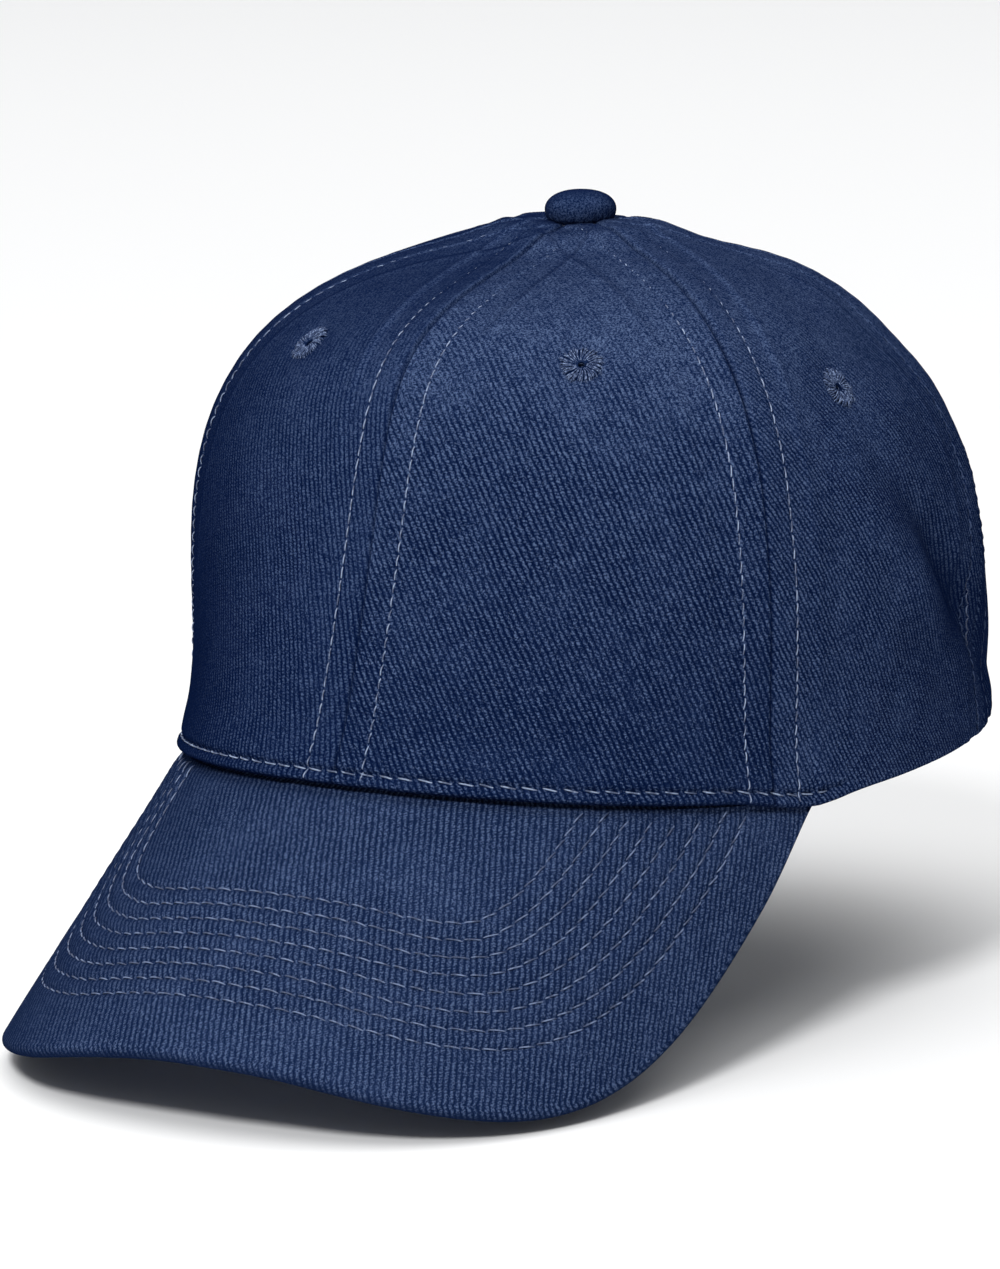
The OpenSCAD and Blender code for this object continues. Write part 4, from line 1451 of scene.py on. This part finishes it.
def band_row(thread, ends, count, row, depth, pitch, lift):
    """A row of stitches on the band's face, between two bearings."""
    b = np.linspace(*ends, count)
    h = row + 0 * b
    line = crown(b, row, sweatband_depth(b, row) + SWEATBAND_FOLD + depth - band_sag(b, h))
    thread.row(line, -crown_normal(b, h), pitch, lift=lift)


def sweatband_stitching():
    """The row along the band's foot and the row under its fold."""
    thread = Thread(71)
    ends = (-SWEATBAND_END + 1, SWEATBAND_END - 1)
    for row, sink in zip(BAND_ROWS, (0.2, 0.27)):
        band_row(thread, ends, 2400, row, -sink, SEAM_PITCH + 0.6, 0.2)
    thread.build("sweatband_stitching", THREAD)


def care_label():
    """A blank woven label, caught in the sweatband's seam at the bottom."""
    b = np.linspace(*LABEL_ENDS, 30)[:, None]
    h = np.linspace(4, 30, 40)[None]
    lift = 0.25 + 0.5 * ease((h - 8) / 22) * (0.6 + 0.4 * np.cos((b + 131) * 0.4))
    near = sweatband_depth(b, h) + SWEATBAND_FOLD + lift - band_sag(b, h + 0 * b)
    outer, inner = crown(b, h, near), crown(b, h, near + 0.3)
    closed_sheet("care_label_cloth", outer, inner, grid_uv(inner), LABEL,
                 stands_for=["care_label"], slot="label")
    thread = Thread(72)
    ends = (LABEL_ENDS[0] + 0.5, LABEL_ENDS[1] - 0.5)
    band_row(thread, ends, 60, LABEL_ROW, 0.5, 2.6, 0.12)
    thread.build("care_label_stitching", THREAD)


for side in SIDES:
    buckram(side)
for name, seam in SEAMS.items():
    seam_tape(name, seam)
arch_binding()
sweatband()
sweatband_core()
sweatband_stitching()
care_label()

# ---- strap and buckle ----

RING_Y = 31.0
STRAP_OUTER = 71.9
STRAP_INNER = 70.7
STRAP_ENDS = (-56, 52)
LOOP_NEAR = 68.35
LOOP_FAR = 70.05
LOOP_SEWN_END = 44
LOOP_BAR = 23.1
LOOP_FREE_END = 28.3
LOOP_HALF_THICKNESS = 0.34


def ring_points(bearing, radius, z):
    """Points round the strap's axis; bearings run from the back towards the wearer's left."""
    bearing, radius, z = np.broadcast_arrays(bearing, radius, z)
    return np.stack([radius * sind(bearing), RING_Y + radius * cosd(bearing), z], axis=-1)


def strap():
    """The self-fabric strap, folded at both edges and stitched along them."""
    low, high = node_box("strap")
    columns = np.linspace(*STRAP_ENDS, 260)[:, None]
    z = np.linspace(low[2], high[2], 44)[None]
    side = np.minimum(z - low[2], high[2] - z)
    rounding = 0.45 * (1 - np.sqrt(1 - (1 - np.clip(side / 0.6, 0, 1)) ** 2))
    puff = 0.06 * np.cos(np.clip(side / 4.5, 0, 1) * math.pi) - 0.12 * bump(side - 2.2, 0.5)
    ripple = 0.05 * waves(ring_points(columns, STRAP_OUTER, z), 14, seed=81)
    lift = puff + ripple - rounding
    outer = ring_points(columns, STRAP_OUTER + lift - 0.08, z)
    inner = ring_points(columns, STRAP_INNER - lift * 0.5 + 0.1 + rounding * 0.5, z)
    uv = grid_uv(outer)
    closed_sheet("strap_cloth", outer, inner, uv, NAVY_SMALL, body="strap_body",
                 stands_for=["strap"], slot="navy_twill")
    thread = Thread(82)
    line_b = np.linspace(STRAP_ENDS[1] - 1, STRAP_ENDS[0] + 1, 400)
    for z_row in (low[2] + 2.2, high[2] - 2.2):
        line = ring_points(line_b, STRAP_OUTER - 0.16, z_row)
        n = ring_points(line_b, 1.0, 0) - np.array([0, RING_Y, 0])
        thread.row(line, n, SEAM_PITCH, lift=0.14)
        thread.row(ring_points(line_b, STRAP_INNER + 0.2, z_row), -n, SEAM_PITCH, lift=0.14)
    thread.build("strap_stitching", THREAD, body="strap_body")


def anchor_loop():
    """The cloth loop that ties the buckle's end bar to the back panel."""
    low, high = node_box("anchor_loop")
    turn = np.linspace(90, 270, 15)
    middle, half = (LOOP_NEAR + LOOP_FAR) / 2, (LOOP_FAR - LOOP_NEAR) / 2
    per_mm = 180 / math.pi / middle
    outside = np.stack([np.linspace(LOOP_SEWN_END, LOOP_BAR, 60), np.full(60, LOOP_FAR)], -1)
    bend = np.stack([LOOP_BAR + half * cosd(turn) * per_mm, middle + half * sind(turn)], -1)
    inside = np.stack([np.linspace(LOOP_BAR, LOOP_FREE_END, 16), np.full(16, LOOP_NEAR)], -1)
    path = np.concatenate([outside, bend[1:-1], inside])
    flat = np.stack([path[:, 0] / per_mm, path[:, 1]], -1)
    along = unit(np.gradient(flat, axis=0))
    normal = np.stack([along[:, 1], -along[:, 0]], -1)
    z = np.linspace(low[2], high[2], 30)[:, None]
    grids = []
    for offset in (LOOP_HALF_THICKNESS, -LOOP_HALF_THICKNESS):
        q = flat + normal * offset
        grids.append(ring_points(q[None, :, 0] * per_mm, q[None, :, 1], z))
    uv = grid_uv(grids[0])
    closed_sheet("anchor_loop_cloth", grids[0], grids[1], uv, NAVY_SMALL,
                 stands_for=["anchor_loop"], slot="navy_twill")


def finish_metal(node, material, bevel=0.25):
    """Gives a frame part its metal and soft edges."""
    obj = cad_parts[node]
    obj.data.materials.clear()
    obj.data.materials.append(material)
    obj.data.shade_smooth()
    obj.data.set_sharp_from_angle(angle=math.radians(35))
    modifier = obj.modifiers.new("soft_edges", "BEVEL")
    modifier.width = bevel * MM
    modifier.segments = 2
    modifier.limit_method = "ANGLE"
    modifier.angle_limit = math.radians(50)


strap()
anchor_loop()
for node in ("buckle_frame", "buckle_pin", "buckle_lever"):
    finish_metal(node, BRASS)
for node in ("button_post", "button_washer"):
    finish_metal(node, STEEL, bevel=0.12)

# ---- stage ----

FLOOR_DROP = 2.0
FLOOR_SIZE = 12000.0
VIEW_AZIMUTH = 31.76
VIEW_ELEVATION = 11.09
VIEW_ROLL = -0.79
VIEW_DISTANCE = 1405.0
VIEW_TARGET = (0.0, -25.0, 45.0)
VIEW_SHIFT = (-4.02, -17.30)
SENSOR = 36.0
LENS = 234.0


def direction(azimuth, elevation):
    """From the cap towards a lamp or the camera, by bearing and height above the horizon."""
    level = cosd(elevation)
    return Vector((float(sind(azimuth) * level), float(-cosd(azimuth) * level),
                   float(sind(elevation))))


def stage_floor():
    """A plain pale floor just under the visor."""
    low = min(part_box(n)[0][2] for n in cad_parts) - FLOOR_DROP * MM
    far = FLOOR_SIZE * MM
    corners = [(-far, -far, low), (far, -far, low), (far, far, low), (-far, far, low)]
    mesh = bpy.data.meshes.new("floor")
    mesh.from_pydata(corners, [], [(0, 1, 2, 3)])
    floor = bpy.data.objects.new("floor", mesh)
    bpy.context.scene.collection.objects.link(floor)
    g = Graph("pale_floor")
    mesh.materials.append(g.finish(Base_Color=(0.90, 0.90, 0.90), Roughness=0.9,
                                   Specular_IOR_Level=0.1))


def area_light(name, azimuth, elevation, distance, size, power):
    """A soft lamp aimed at the cap; its distance and size are in metres."""
    data = bpy.data.lights.new(name, "AREA")
    data.shape = "DISK"
    data.size = size
    data.energy = power
    lamp = bpy.data.objects.new(name, data)
    aim = direction(azimuth, elevation)
    lamp.location = Vector(VIEW_TARGET) * MM + aim * distance
    lamp.rotation_euler = aim.to_track_quat("Z", "Y").to_euler()
    bpy.context.scene.collection.objects.link(lamp)


def stage_light():
    world = bpy.data.worlds.new("studio")
    world.use_nodes = True
    background = world.node_tree.nodes["Background"]
    background.inputs["Color"].default_value = (0.95, 0.97, 1.0, 1)
    background.inputs["Strength"].default_value = 0.26
    bpy.context.scene.world = world
    area_light("overhead", 212, 75, 3.4, 6.5, 165)
    area_light("key", 12, 44, 1.5, 0.40, 14)


def stage_camera():
    """The camera of the reference view."""
    back = direction(VIEW_AZIMUTH, VIEW_ELEVATION)
    right = direction(VIEW_AZIMUTH + 90, 0)
    up = back.cross(right)
    c, s = float(cosd(VIEW_ROLL)), float(sind(VIEW_ROLL))
    right, up = right * c + up * s, up * c - right * s
    target = Vector(VIEW_TARGET) + right * VIEW_SHIFT[0] + up * VIEW_SHIFT[1]
    data = bpy.data.cameras.new("camera")
    data.sensor_fit = "HORIZONTAL"
    data.sensor_width = SENSOR
    data.lens = LENS
    data.clip_end = 50
    camera = bpy.data.objects.new("camera", data)
    turn = Matrix((right, up, back)).transposed().to_4x4()
    camera.matrix_world = Matrix.Translation((target + back * VIEW_DISTANCE) * MM) @ turn
    bpy.context.scene.collection.objects.link(camera)
    bpy.context.scene.camera = camera


stage_floor()
stage_light()
stage_camera()
bpy.context.scene.view_settings.view_transform = "Standard"
